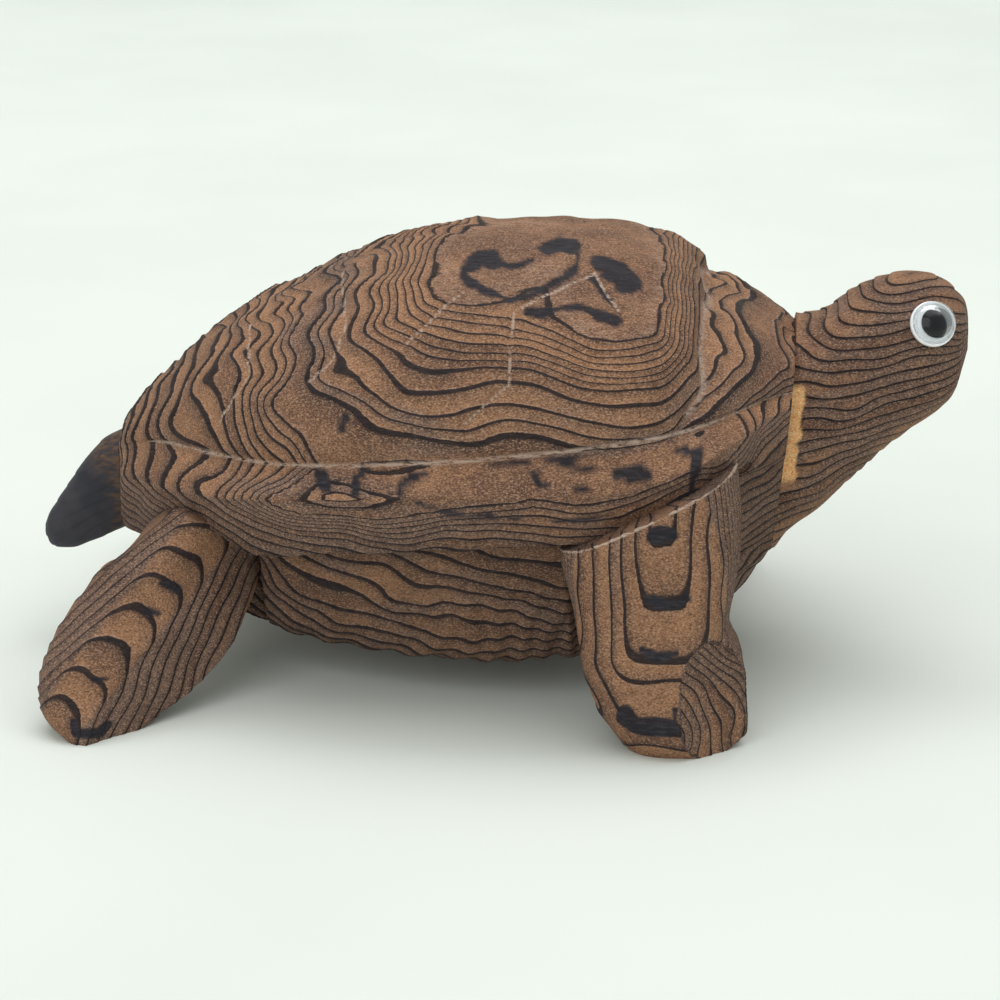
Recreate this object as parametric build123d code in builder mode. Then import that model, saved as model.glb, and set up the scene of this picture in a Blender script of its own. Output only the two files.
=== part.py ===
"""Carved softwood turtle: shell block, head, tail and four legs on dowels, with rolling eyes.

The head looks along +X, +Y is the turtle's left, +Z is up, and the feet stand on z = 0.
All sizes are in millimetres. Tables that end in share or shares hold fractions of the
named sizes, so the turtle keeps its form when a size is changed.
"""
from bisect import bisect_right
from math import cos, hypot, pi, radians, sin
import os

from build123d import *

# Overall sizes of the carving
half_length = 72.6  # from the middle to the snout, and to the tip of the tail
shell_top = 67.5  # height of the shell's highest point
shell_half_width = 42.0  # from the middle to the rim's widest point
stance_reach = 7.0  # how far the feet stand out beyond the rim
stance_half_width = shell_half_width + stance_reach

# Valley cut across the shell between its dome and the collar around the neck
valley_depth = 1.4
valley_half_width = 2.3
valley_clearance = 0.5  # how far the cutter stands off the dome at the valley's edges
valley_place_share = 0.461  # where it lies along half_length

# Head and neck
head_top = 61.6  # height of the crown
neck_half_width = 15.0
neck_joint_share = (0.627, 0.607)  # its middle: along half_length, and up shell_top
neck_joint_lean = 5.0  # degrees that the joint leans forward at its top

# Tail
tail_top_share = 0.501  # height of the tail's upper edge at its root, of shell_top
tail_top = tail_top_share * shell_top
tail_half_thickness = 4.5

# Legs: the height that each table of levels is a share of, up to the rim that they meet
front_leg_top_share = 0.593  # of shell_top
front_leg_top = front_leg_top_share * shell_top
rear_leg_top_share = 0.444  # of shell_top
rear_leg_top = rear_leg_top_share * shell_top
front_seat_share = 0.667  # distance of the front legs' seats from the middle, of shell_half_width
rear_seat_share = 0.405  # distance of the rear legs' seats from the middle, of shell_half_width

# Dowels and their glue clearance
neck_dowel_diameter = 10.0
neck_dowel_length = 20.0
leg_dowel_diameter = 6.0
leg_dowel_length = 14.0
tail_dowel_diameter = 4.0
tail_dowel_length = 12.0
glue_gap = 0.05  # around a dowel
end_gap = 0.5  # beyond each end of a dowel

# Rolling eyes, each a white backing, a loose black pupil and a clear cap
eye_diameter = 7.0
eye_backing_thickness = 0.7
eye_sink = 0.35  # how far the flat seat is cut below the head's surface
pupil_diameter = 4.7
pupil_thickness = 0.5
pupil_play = 0.08  # free space above, below and at the side of the pupil
pupil_offset = 0.4  # from the eye's axis to the pupil's middle
cap_wall = 0.35
cap_height = 2.3  # from the backing's face to the top of the cap
cap_flange = 0.35
eye_tilt = 28.0  # degrees that the eyes look up
eye_turn = 15.0  # degrees that the eyes look forward

# One overrun for the other cuts, past anything that it cuts
overrun = half_length

# Stations along the shell block, from past its rear end to past the neck joint.
# Each row: place along half_length; heights of the top, the crease above the rim, the rim's
# crest, its lower edge, the lip under it, the belly's edge and the keel, as shares of
# shell_top; then the half widths of the crease, crest, lower edge, lip and belly's edge, as
# shares of shell_half_width.
body_station_shares = [
    (-0.825, 0.478, 0.430, 0.397, 0.314, 0.306, 0.286, 0.275, 0.065, 0.080, 0.072, 0.065, 0.030),
    (-0.815, 0.505, 0.450, 0.410, 0.312, 0.305, 0.285, 0.272, 0.105, 0.130, 0.120, 0.085, 0.045),
    (-0.795, 0.559, 0.490, 0.435, 0.308, 0.300, 0.282, 0.266, 0.195, 0.250, 0.230, 0.125, 0.075),
    (-0.749, 0.612, 0.525, 0.450, 0.312, 0.302, 0.260, 0.242, 0.300, 0.375, 0.345, 0.190, 0.125),
    (-0.664, 0.697, 0.552, 0.465, 0.328, 0.315, 0.205, 0.185, 0.440, 0.545, 0.510, 0.320, 0.215),
    (-0.544, 0.797, 0.563, 0.485, 0.345, 0.331, 0.145, 0.128, 0.625, 0.735, 0.700, 0.530, 0.370),
    (-0.389, 0.878, 0.577, 0.515, 0.377, 0.362, 0.120, 0.100, 0.800, 0.890, 0.855, 0.715, 0.530),
    (-0.204, 0.966, 0.597, 0.538, 0.410, 0.395, 0.110, 0.090, 0.890, 0.975, 0.940, 0.810, 0.630),
    (0.011, 1.000, 0.620, 0.550, 0.430, 0.415, 0.103, 0.085, 0.915, 1.000, 0.965, 0.835, 0.670),
    (0.211, 1.000, 0.648, 0.562, 0.448, 0.433, 0.120, 0.100, 0.915, 1.000, 0.965, 0.835, 0.665),
    (0.361, 0.969, 0.672, 0.590, 0.490, 0.475, 0.138, 0.115, 0.880, 0.970, 0.940, 0.825, 0.590),
    (0.436, 0.921, 0.683, 0.615, 0.520, 0.505, 0.160, 0.124, 0.810, 0.930, 0.900, 0.790, 0.500),
    (0.471, 0.882, 0.690, 0.628, 0.535, 0.520, 0.180, 0.132, 0.770, 0.895, 0.865, 0.760, 0.450),
    (0.526, 0.852, 0.700, 0.650, 0.555, 0.540, 0.230, 0.155, 0.680, 0.790, 0.760, 0.650, 0.390),
    (0.586, 0.818, 0.705, 0.668, 0.570, 0.545, 0.304, 0.240, 0.530, 0.620, 0.595, 0.510, 0.330),
    (0.651, 0.768, 0.700, 0.675, 0.570, 0.545, 0.375, 0.318, 0.400, 0.450, 0.435, 0.385, 0.270),
    (0.711, 0.740, 0.690, 0.670, 0.575, 0.555, 0.430, 0.380, 0.310, 0.350, 0.340, 0.300, 0.210),
]
dome_power = 2.15  # 2 is an ellipse, more is squarer
dome_turn_shares = [-1.0, -0.8, -0.58, -0.34, 0.0, 0.34, 0.58, 0.8, 1.0]  # of a right angle
belly_bulge_share = 0.45  # where the belly's side bulges, between the lip and the edge
belly_swell_share = 0.03  # how far it swells there, of shell_half_width
keel_side_share = 0.55  # where the belly's flat is halfway down to the keel

# Stations along the neck and head. Each row: place along half_length; heights of the throat
# and the crown side as shares of head_top; half width as a share of neck_half_width.
head_station_shares = [
    (0.496, 0.138, 0.880, 1.000),
    (0.570, 0.237, 0.880, 1.000),
    (0.640, 0.338, 0.884, 0.975),
    (0.700, 0.399, 0.901, 0.895),
    (0.760, 0.469, 0.953, 0.800),
    (0.820, 0.542, 0.985, 0.735),
    (0.875, 0.595, 1.000, 0.706),
    (0.921, 0.637, 0.991, 0.685),
    (0.955, 0.668, 0.975, 0.620),
    (0.978, 0.706, 0.953, 0.530),
    (0.992, 0.768, 0.930, 0.410),
    (1.000, 0.812, 0.893, 0.270),
]
eye_place_share = 0.921  # the station that carries the eyes
eye_rise_share = 0.54  # height of an eye above the head's middle there, of its half height
head_power = 2.3

# Stations along the tail, from its seat to its tip. Each row: place along half_length;
# heights of the lower and upper edges as shares of tail_top; half thickness as a share of
# tail_half_thickness.
tail_station_shares = [
    (-0.815, 0.524, 1.000, 1.000),
    (-0.861, 0.473, 0.947, 0.950),
    (-0.900, 0.438, 0.861, 0.860),
    (-0.944, 0.402, 0.728, 0.700),
    (-0.975, 0.399, 0.630, 0.550),
    (-0.992, 0.417, 0.574, 0.380),
    (-1.000, 0.447, 0.530, 0.220),
]
tail_power = 2.2
tail_dowel_rise_share = 0.77  # height of the tail's dowel, of tail_top

# Levels of a front leg, from the floor up. Each row: height as a share of front_leg_top; back
# and front edges as shares of half_length; inner and outer faces as shares of
# stance_half_width.
front_leg_level_shares = [
    (0.000, 0.317, 0.523, 0.765, 0.955),
    (0.060, 0.292, 0.556, 0.730, 0.985),
    (0.150, 0.259, 0.556, 0.700, 0.993),
    (0.275, 0.233, 0.554, 0.660, 0.990),
    (0.363, 0.220, 0.537, 0.610, 0.980),
    (0.450, 0.209, 0.515, 0.570, 0.965),
    (0.575, 0.193, 0.528, 0.500, 0.950),
    (0.700, 0.179, 0.537, 0.450, 0.930),
    (0.850, 0.172, 0.534, 0.420, 0.905),
    (1.040, 0.165, 0.523, 0.380, 0.870),
]
# Outline of the pocket that takes the leg, on its seat: places along half_length and heights
# of front_leg_top. The lowest points lie below the floor and the last ones past the front.
front_pocket_shares = [(0.183, -0.2), (0.183, 0.700), (0.534, 1.010), (0.860, 1.010), (0.860, -0.2)]
front_dowel_share = (0.345, 0.450)
# Crisp edge of the leg's front facet: a point on it, and the way that the facet looks
front_crease_share = (0.435, -0.976, 0.280)
front_facet_direction_share = (0.62, -0.78, 0.03)

# Levels of a rear leg, from the floor up. Each row: height as a share of rear_leg_top; the
# outer rear end and the inner front end, each along half_length and stance_half_width; half
# thickness as a share of stance_half_width.
rear_leg_level_shares = [
    (0.000, -0.826, 0.939, -0.682, 0.878, 0.098),
    (0.080, -0.858, 0.943, -0.620, 0.776, 0.118),
    (0.200, -0.874, 0.914, -0.551, 0.673, 0.133),
    (0.400, -0.848, 0.857, -0.510, 0.510, 0.143),
    (0.660, -0.768, 0.740, -0.493, 0.306, 0.143),
    (0.860, -0.680, 0.650, -0.496, 0.245, 0.133),
    (1.020, -0.620, 0.590, -0.496, 0.224, 0.122),
]
rear_pocket_shares = [
    (-1.150, -0.2), (-1.150, 0.640), (-0.760, 0.680), (-0.628, 0.985),
    (-0.475, 0.850), (-0.450, 0.830), (-0.450, -0.2),
]
rear_dowel_share = (-0.545, 0.610)
rear_crease_share = (-0.638, -0.799, 0.360)
rear_facet_direction_share = (0.71, -0.70, 0.07)
leg_power = 2.7

# Numbers of cross sections that the pieces are lofted through
body_count = 20
head_count = 16
leg_count = 9
closing_share = 0.8  # how far the sections draw together at the snout

# Points along each quarter of an oval, as shares of its turn
quarter_shares = [0.25, 0.5, 0.75]


def rows_at(rows, wanted):
    """A table's rows at the wanted places, read off monotone cubic curves through its columns."""
    places = [row[0] for row in rows]
    slopes = []
    for column in range(1, len(rows[0])):
        secants = []
        for low, high in zip(rows, rows[1:]):
            secants.append((high[column] - low[column]) / (high[0] - low[0]))
        inner = [2 * a * b / (a + b) if a * b > 0 else 0 for a, b in zip(secants, secants[1:])]
        slopes.append([secants[0], *inner, secants[-1]])
    found = []
    for place in wanted:
        span = min(max(bisect_right(places, place) - 1, 0), len(rows) - 2)
        width = places[span + 1] - places[span]
        t = (place - places[span]) / width
        row = [place]
        for column, slope in enumerate(slopes, start=1):
            low, high = rows[span][column], rows[span + 1][column]
            rise = t * t * (3 - 2 * t)
            value = low + (high - low) * rise
            value += width * t * (1 - t) * (slope[span] * (1 - t) - slope[span + 1] * t)
            row.append(value)
        found.append(row)
    return found


def even_rows(rows, count, closing=0):
    """A table's rows at even places.

    With closing above 0 the places draw steadily closer together towards the last one.
    """
    shares = [step / (count - 1) for step in range(count)]
    shares = [share + closing * share * (1 - share) for share in shares]
    return rows_at(rows, [rows[0][0] + (rows[-1][0] - rows[0][0]) * share for share in shares])


def oval(plane, half_wide, half_tall, power):
    """A superellipse face on a plane: four quarter curves that run smoothly into each other."""

    def point(turn):
        across, along = cos(turn), sin(turn)
        reach = (abs(across) ** power + abs(along) ** power) ** (-1 / power)
        return (half_wide * across * reach, half_tall * along * reach)

    ways = [(0, 1), (-1, 0), (0, -1), (1, 0)]
    corners = [(half_wide, 0), (0, half_tall), (-half_wide, 0), (0, -half_tall)]
    with BuildSketch(plane) as section:
        with BuildLine():
            for quarter in range(4):
                after = (quarter + 1) % 4
                middle = [point((quarter + share) * pi / 2) for share in quarter_shares]
                Spline(
                    corners[quarter], *middle, corners[after], tangents=[ways[quarter], ways[after]]
                )
        make_face()
    return section.sketch


def dome_points(half_wide, base, top):
    """Points over the dome in one cross section, from side to side."""
    dome = []
    for share in dome_turn_shares:
        angle = share * pi / 2
        across = abs(sin(angle)) ** (2 / dome_power) * (1 if share > 0 else -1)
        up = abs(cos(angle)) ** (2 / dome_power)
        dome.append((half_wide * across, base + (top - base) * up))
    dome[0], dome[-1] = (-half_wide, base), (half_wide, base)
    return dome


def valley_section(row, depth):
    """A face over the dome in one cross section, whose lower side lies sunk by a depth."""
    place, top_share, crease_share, *others = row
    wide = others[5] * shell_half_width
    base, top = crease_share * shell_top, top_share * shell_top
    sunk = dome_points(wide - depth, base, top - depth)
    clear = dome_points(wide + valley_reach, base, top + valley_reach)
    with BuildSketch(Plane.YZ.offset(place * half_length)) as section:
        with BuildLine():
            Spline(*sunk)
            Line(sunk[-1], clear[-1])
            Spline(*clear)
            Line(clear[0], sunk[0])
        make_face()
    return section.sketch


def body_section(row):
    """One cross section of the shell block: dome, bevel, rim, lip and belly."""
    place, *shares = row
    top, crease_z, crest_z, edge_z, lip_z, belly_z, keel_z = [s * shell_top for s in shares[:7]]
    crease_w, crest_w, edge_w, lip_w, belly_w = [s * shell_half_width for s in shares[7:]]
    dome = dome_points(crease_w, crease_z, top)
    bulge_w = lip_w + (belly_w - lip_w) * belly_bulge_share + belly_swell_share * lip_w
    bulge_z = lip_z + (belly_z - lip_z) * belly_bulge_share
    flat = (belly_w * keel_side_share, (belly_z + keel_z) / 2)
    belly = [(lip_w, lip_z), (bulge_w, bulge_z), (belly_w, belly_z), flat, (0, keel_z)]
    belly += [(-y, z) for y, z in reversed(belly[:-1])]
    with BuildSketch(Plane.YZ.offset(place * half_length)) as section:
        with BuildLine():
            Spline(*dome)
            Line((crease_w, crease_z), (crest_w, crest_z))
            Line((crest_w, crest_z), (edge_w, edge_z))
            Line((edge_w, edge_z), (lip_w, lip_z))
            Spline(*belly)
            Line((-lip_w, lip_z), (-edge_w, edge_z))
            Line((-edge_w, edge_z), (-crest_w, crest_z))
            Line((-crest_w, crest_z), (-crease_w, crease_z))
        make_face()
    return section.sketch


def upright_section(place, low, high, half_wide, power):
    """An upright oval across the body, used along the neck, head and tail."""
    plane = Plane(origin=(place, 0, (low + high) / 2), x_dir=(0, 1, 0), z_dir=(1, 0, 0))
    return oval(plane, half_wide, (high - low) / 2, power)


def front_leg_section(row):
    """A level oval of the front leg on the right-hand side."""
    level, back, front, inner, outer = row
    x_back, x_front = back * half_length, front * half_length
    y_inner, y_outer = -inner * stance_half_width, -outer * stance_half_width
    centre = ((x_back + x_front) / 2, (y_inner + y_outer) / 2, level * front_leg_top)
    return oval(Plane(origin=centre), (x_front - x_back) / 2, (y_inner - y_outer) / 2, leg_power)


def rear_leg_section(row):
    """A level oval of the rear leg on the right-hand side, turned to the way that it splays."""
    level, x_out, y_out, x_in, y_in, thick = row
    outer = (x_out * half_length, -y_out * stance_half_width)
    inner = (x_in * half_length, -y_in * stance_half_width)
    centre = ((outer[0] + inner[0]) / 2, (outer[1] + inner[1]) / 2, level * rear_leg_top)
    along = (inner[0] - outer[0], inner[1] - outer[1], 0)
    plane = Plane(origin=centre, x_dir=along, z_dir=(0, 0, 1))
    return oval(plane, hypot(*along) / 2, thick * stance_half_width, leg_power)


def pocket(seat, outline):
    """The solid cut from the shell block for a leg: the outline, pushed out from the seat."""
    with BuildPart(mode=Mode.PRIVATE) as block:
        with BuildSketch(seat):
            with BuildLine():
                Polyline(*outline, close=True)
            make_face()
        extrude(amount=overrun)
    return block.part


def peg(plane, radius, back, ahead):
    """A round peg about a plane's normal, from a length behind the plane to one ahead."""
    with BuildPart(mode=Mode.PRIVATE) as block:
        with BuildSketch(plane.offset(-back)):
            Circle(radius)
        extrude(amount=back + ahead)
    return block.part


def dowel_hole(plane, diameter, length):
    """The hole for half a dowel each way from its plane, with the glue clearances."""
    depth = length / 2 + end_gap
    return peg(plane, diameter / 2 + glue_gap, depth, depth)


def facet(crease_share, direction_share, height):
    """The plane of a leg's front facet, through a point of its crisp edge."""
    x, y, z = crease_share
    point = (x * half_length, y * stance_half_width, z * height)
    return Plane(origin=point, z_dir=direction_share)


# Planes where the glued pieces meet
lean = radians(neck_joint_lean)
neck_joint = Plane(
    origin=(neck_joint_share[0] * half_length, 0, neck_joint_share[1] * shell_top),
    x_dir=(0, 1, 0),
    z_dir=(cos(lean), 0, -sin(lean)),
)
tail_seat_x = tail_station_shares[0][0] * half_length
tail_joint = Plane(
    origin=(tail_seat_x, 0, tail_dowel_rise_share * tail_top), x_dir=(0, 1, 0), z_dir=(-1, 0, 0)
)


def leg_seat(share):
    """The upright seat plane of a right leg, at a share of shell_half_width from the middle."""
    return Plane(origin=(0, -share * shell_half_width, 0), x_dir=(1, 0, 0), z_dir=(0, -1, 0))


def seat_points(shares, height):
    """Points on a seat from their places along half_length and their shares of a leg's height."""
    return [(x * half_length, z * height) for x, z in shares]


def seat_dowel(seat, share, height):
    """The plane on a seat, about the middle of its dowel."""
    spot = seat_points([share], height)[0]
    return Plane(origin=seat.from_local_coords(spot + (0,)), z_dir=seat.z_dir)


front_seat = leg_seat(front_seat_share)
front_pocket = pocket(front_seat, seat_points(front_pocket_shares, front_leg_top))
front_dowel_plane = seat_dowel(front_seat, front_dowel_share, front_leg_top)
rear_seat = leg_seat(rear_seat_share)
rear_pocket = pocket(rear_seat, seat_points(rear_pocket_shares, rear_leg_top))
rear_dowel_plane = seat_dowel(rear_seat, rear_dowel_share, rear_leg_top)

# Planes of the eyes, whose normals are the eyes' axes, on the right and left of the head
eye_row = next(row for row in head_station_shares if row[0] == eye_place_share)
eye_place, eye_low, eye_high, eye_wide = eye_row
eye_side = eye_wide * neck_half_width * (1 - eye_rise_share ** head_power) ** (1 / head_power)
eye_mid = (eye_low + eye_high) / 2 * head_top
eye_rise = eye_rise_share * (eye_high - eye_low) / 2 * head_top


def eye_axes(side):
    """The seat plane of the eye on one side: -1 is right, 1 is left."""
    tilt, turn = radians(eye_tilt), radians(eye_turn)
    look = Vector(sin(turn) * cos(tilt), side * cos(turn) * cos(tilt), sin(tilt))
    ahead = Vector(cos(turn), -side * sin(turn), 0)
    surface = Vector(eye_place * half_length, side * eye_side, eye_mid + eye_rise)
    return Plane(origin=surface - look * eye_sink, x_dir=ahead, z_dir=look)


# Cutter for the valley: straight-sided, deepest in the middle and clear of the dome at its edges
valley_half_share = valley_half_width * (valley_depth + valley_clearance) / valley_depth / half_length
valley_reach = 2 * valley_depth
valley_places = [valley_place_share + step * valley_half_share for step in (-1, 0, 1)]
valley_depths = (-valley_clearance, valley_depth, -valley_clearance)
with BuildPart() as valley_cutter:
    valley_rows = rows_at(body_station_shares, valley_places)
    loft([valley_section(row, depth) for row, depth in zip(valley_rows, valley_depths)], ruled=True)

# Shell block: one piece of wood from the shell's top to the keel
with BuildPart() as shell_body:
    loft([body_section(row) for row in even_rows(body_station_shares, body_count)])
    split(bisect_by=neck_joint, keep=Keep.BOTTOM)
    split(bisect_by=tail_joint, keep=Keep.BOTTOM)
    add(valley_cutter.part, mode=Mode.SUBTRACT)
    for blank in (front_pocket, rear_pocket):
        add(blank, mode=Mode.SUBTRACT)
        add(mirror(blank, about=Plane.XZ, mode=Mode.PRIVATE), mode=Mode.SUBTRACT)
    for seat in (front_dowel_plane, rear_dowel_plane):
        hole = dowel_hole(seat, leg_dowel_diameter, leg_dowel_length)
        add(hole, mode=Mode.SUBTRACT)
        add(mirror(hole, about=Plane.XZ, mode=Mode.PRIVATE), mode=Mode.SUBTRACT)
    add(dowel_hole(neck_joint, neck_dowel_diameter, neck_dowel_length), mode=Mode.SUBTRACT)
    add(dowel_hole(tail_joint, tail_dowel_diameter, tail_dowel_length), mode=Mode.SUBTRACT)

# Head and neck, with a flat seat cut for each eye
with BuildPart() as head_neck:
    head_sections = []
    for place, low, high, wide in even_rows(head_station_shares, head_count, closing_share):
        sizes = (place * half_length, low * head_top, high * head_top, wide * neck_half_width)
        head_sections.append(upright_section(*sizes, head_power))
    loft(head_sections)
    split(bisect_by=neck_joint, keep=Keep.TOP)
    add(dowel_hole(neck_joint, neck_dowel_diameter, neck_dowel_length), mode=Mode.SUBTRACT)
    for side in (-1, 1):
        add(peg(eye_axes(side), eye_diameter / 2 + glue_gap, 0, eye_diameter), mode=Mode.SUBTRACT)

# Tail leaf
with BuildPart() as tail:
    tail_sections = []
    for place, low, high, thick in tail_station_shares:
        sizes = (place * half_length, low * tail_top, high * tail_top, thick * tail_half_thickness)
        tail_sections.append(upright_section(*sizes, tail_power))
    loft(tail_sections)
    split(bisect_by=tail_joint, keep=Keep.TOP)
    add(dowel_hole(tail_joint, tail_dowel_diameter, tail_dowel_length), mode=Mode.SUBTRACT)

# Right front leg, clipped to its pocket and to its front facet
with BuildPart() as front_leg_right:
    loft([front_leg_section(row) for row in even_rows(front_leg_level_shares, leg_count)])
    add(front_pocket, mode=Mode.INTERSECT)
    front_facet = facet(front_crease_share, front_facet_direction_share, front_leg_top)
    split(bisect_by=front_facet, keep=Keep.BOTTOM)
    add(dowel_hole(front_dowel_plane, leg_dowel_diameter, leg_dowel_length), mode=Mode.SUBTRACT)

# Right rear leg, clipped in the same way
with BuildPart() as rear_leg_right:
    loft([rear_leg_section(row) for row in even_rows(rear_leg_level_shares, leg_count)])
    add(rear_pocket, mode=Mode.INTERSECT)
    rear_facet = facet(rear_crease_share, rear_facet_direction_share, rear_leg_top)
    split(bisect_by=rear_facet, keep=Keep.BOTTOM)
    add(dowel_hole(rear_dowel_plane, leg_dowel_diameter, leg_dowel_length), mode=Mode.SUBTRACT)

# The left legs are the right ones mirrored
with BuildPart() as front_leg_left:
    mirror(front_leg_right.part, about=Plane.XZ)

with BuildPart() as rear_leg_left:
    mirror(rear_leg_right.part, about=Plane.XZ)

# Dowels that carry the head, the tail and the legs
with BuildPart() as neck_dowel:
    with BuildSketch(neck_joint.offset(-neck_dowel_length / 2)):
        Circle(neck_dowel_diameter / 2)
    extrude(amount=neck_dowel_length)

with BuildPart() as tail_dowel:
    with BuildSketch(tail_joint.offset(-tail_dowel_length / 2)):
        Circle(tail_dowel_diameter / 2)
    extrude(amount=tail_dowel_length)

with BuildPart() as front_dowel_right:
    with BuildSketch(front_dowel_plane.offset(-leg_dowel_length / 2)):
        Circle(leg_dowel_diameter / 2)
    extrude(amount=leg_dowel_length)

with BuildPart() as rear_dowel_right:
    with BuildSketch(rear_dowel_plane.offset(-leg_dowel_length / 2)):
        Circle(leg_dowel_diameter / 2)
    extrude(amount=leg_dowel_length)

with BuildPart() as front_dowel_left:
    mirror(front_dowel_right.part, about=Plane.XZ)

with BuildPart() as rear_dowel_left:
    mirror(rear_dowel_right.part, about=Plane.XZ)

pieces = {
    "shell_body": shell_body,
    "head_neck": head_neck,
    "tail": tail,
    "front_leg_right": front_leg_right,
    "front_leg_left": front_leg_left,
    "rear_leg_right": rear_leg_right,
    "rear_leg_left": rear_leg_left,
    "neck_dowel": neck_dowel,
    "tail_dowel": tail_dowel,
    "front_dowel_right": front_dowel_right,
    "front_dowel_left": front_dowel_left,
    "rear_dowel_right": rear_dowel_right,
    "rear_dowel_left": rear_dowel_left,
}

# Radii and heights inside an eye, from its axis and off its seat
backing_radius = eye_diameter / 2
chamber_radius = pupil_diameter / 2 + pupil_offset + pupil_play
pupil_floor = eye_backing_thickness + pupil_play
chamber_side = pupil_floor + pupil_thickness + pupil_play
cap_radius = chamber_radius + cap_wall
cap_side = chamber_side + cap_wall
cap_top = eye_backing_thickness + cap_height
for side, hand in ((-1, "right"), (1, "left")):
    seat = eye_axes(side)
    axis = Axis(seat.origin, seat.z_dir)
    # White backing: a disc with its upper edge taken off
    with BuildPart() as eye_backing:
        with BuildSketch(seat):
            Circle(backing_radius)
        extrude(amount=eye_backing_thickness)
        chamfer(eye_backing.edges().sort_by(axis)[-1], length=eye_backing_thickness / 3)
    # Clear cap: a flange on the backing and a domed wall over the pupil's chamber
    with BuildPart() as eye_cap:
        upright = Plane(
            origin=seat.origin, x_dir=seat.x_dir, z_dir=seat.x_dir.cross(seat.z_dir)
        )
        flange_radius = backing_radius - eye_backing_thickness / 3
        flange_top = eye_backing_thickness + cap_flange
        inner_top = cap_top - cap_wall
        with BuildSketch(upright):
            with BuildLine():
                Line((chamber_radius, eye_backing_thickness), (flange_radius, eye_backing_thickness))
                Line((flange_radius, eye_backing_thickness), (flange_radius, flange_top))
                Line((flange_radius, flange_top), (cap_radius, flange_top))
                Line((cap_radius, flange_top), (cap_radius, cap_side))
                TangentArc((0, cap_top), (cap_radius, cap_side), tangent=(1, 0))
                Line((0, cap_top), (0, inner_top))
                TangentArc((0, inner_top), (chamber_radius, chamber_side), tangent=(1, 0))
                Line((chamber_radius, chamber_side), (chamber_radius, eye_backing_thickness))
            make_face()
        revolve(axis=axis)
    # Black pupil: a loose disc, off the eye's axis as it lies in its chamber
    with BuildPart() as eye_pupil:
        middle = seat.from_local_coords((pupil_offset, 0, pupil_floor))
        with BuildSketch(Plane(origin=middle, x_dir=seat.x_dir, z_dir=seat.z_dir)):
            Circle(pupil_diameter / 2)
        extrude(amount=pupil_thickness)
    pieces[f"eye_backing_{hand}"] = eye_backing
    pieces[f"eye_cap_{hand}"] = eye_cap
    pieces[f"eye_pupil_{hand}"] = eye_pupil

os.makedirs("parts", exist_ok=True)
for name, piece in pieces.items():
    piece.part.label = name
    export_step(piece.part, f"parts/{name}.step")
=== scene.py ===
import math

import bpy
import numpy as np
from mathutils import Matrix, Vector


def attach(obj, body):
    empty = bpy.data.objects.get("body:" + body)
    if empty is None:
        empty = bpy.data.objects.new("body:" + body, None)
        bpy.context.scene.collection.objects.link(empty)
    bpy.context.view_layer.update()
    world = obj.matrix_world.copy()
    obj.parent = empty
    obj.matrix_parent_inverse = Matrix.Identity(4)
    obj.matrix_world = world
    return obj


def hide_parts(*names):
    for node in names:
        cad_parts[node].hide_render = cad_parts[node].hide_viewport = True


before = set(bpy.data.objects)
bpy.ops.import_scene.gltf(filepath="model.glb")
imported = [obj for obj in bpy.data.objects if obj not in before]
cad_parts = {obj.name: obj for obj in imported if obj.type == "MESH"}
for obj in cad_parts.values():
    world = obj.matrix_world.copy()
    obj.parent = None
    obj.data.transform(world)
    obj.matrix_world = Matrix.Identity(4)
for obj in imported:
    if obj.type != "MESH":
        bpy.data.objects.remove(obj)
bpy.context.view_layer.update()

bl_info = {
    "name": "Carved Turtle Figurine",
    "version": (1, 0, 0),
    "blender": (4, 5, 0),
    "location": "3D View > Sidebar > Turtle",
    "description": "Builds a turtle figurine carved from worn softwood, with its rolling eyes",
    "category": "Add Mesh",
}

MM = 0.001  # the tables and surfaces are worked out in millimetres

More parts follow.
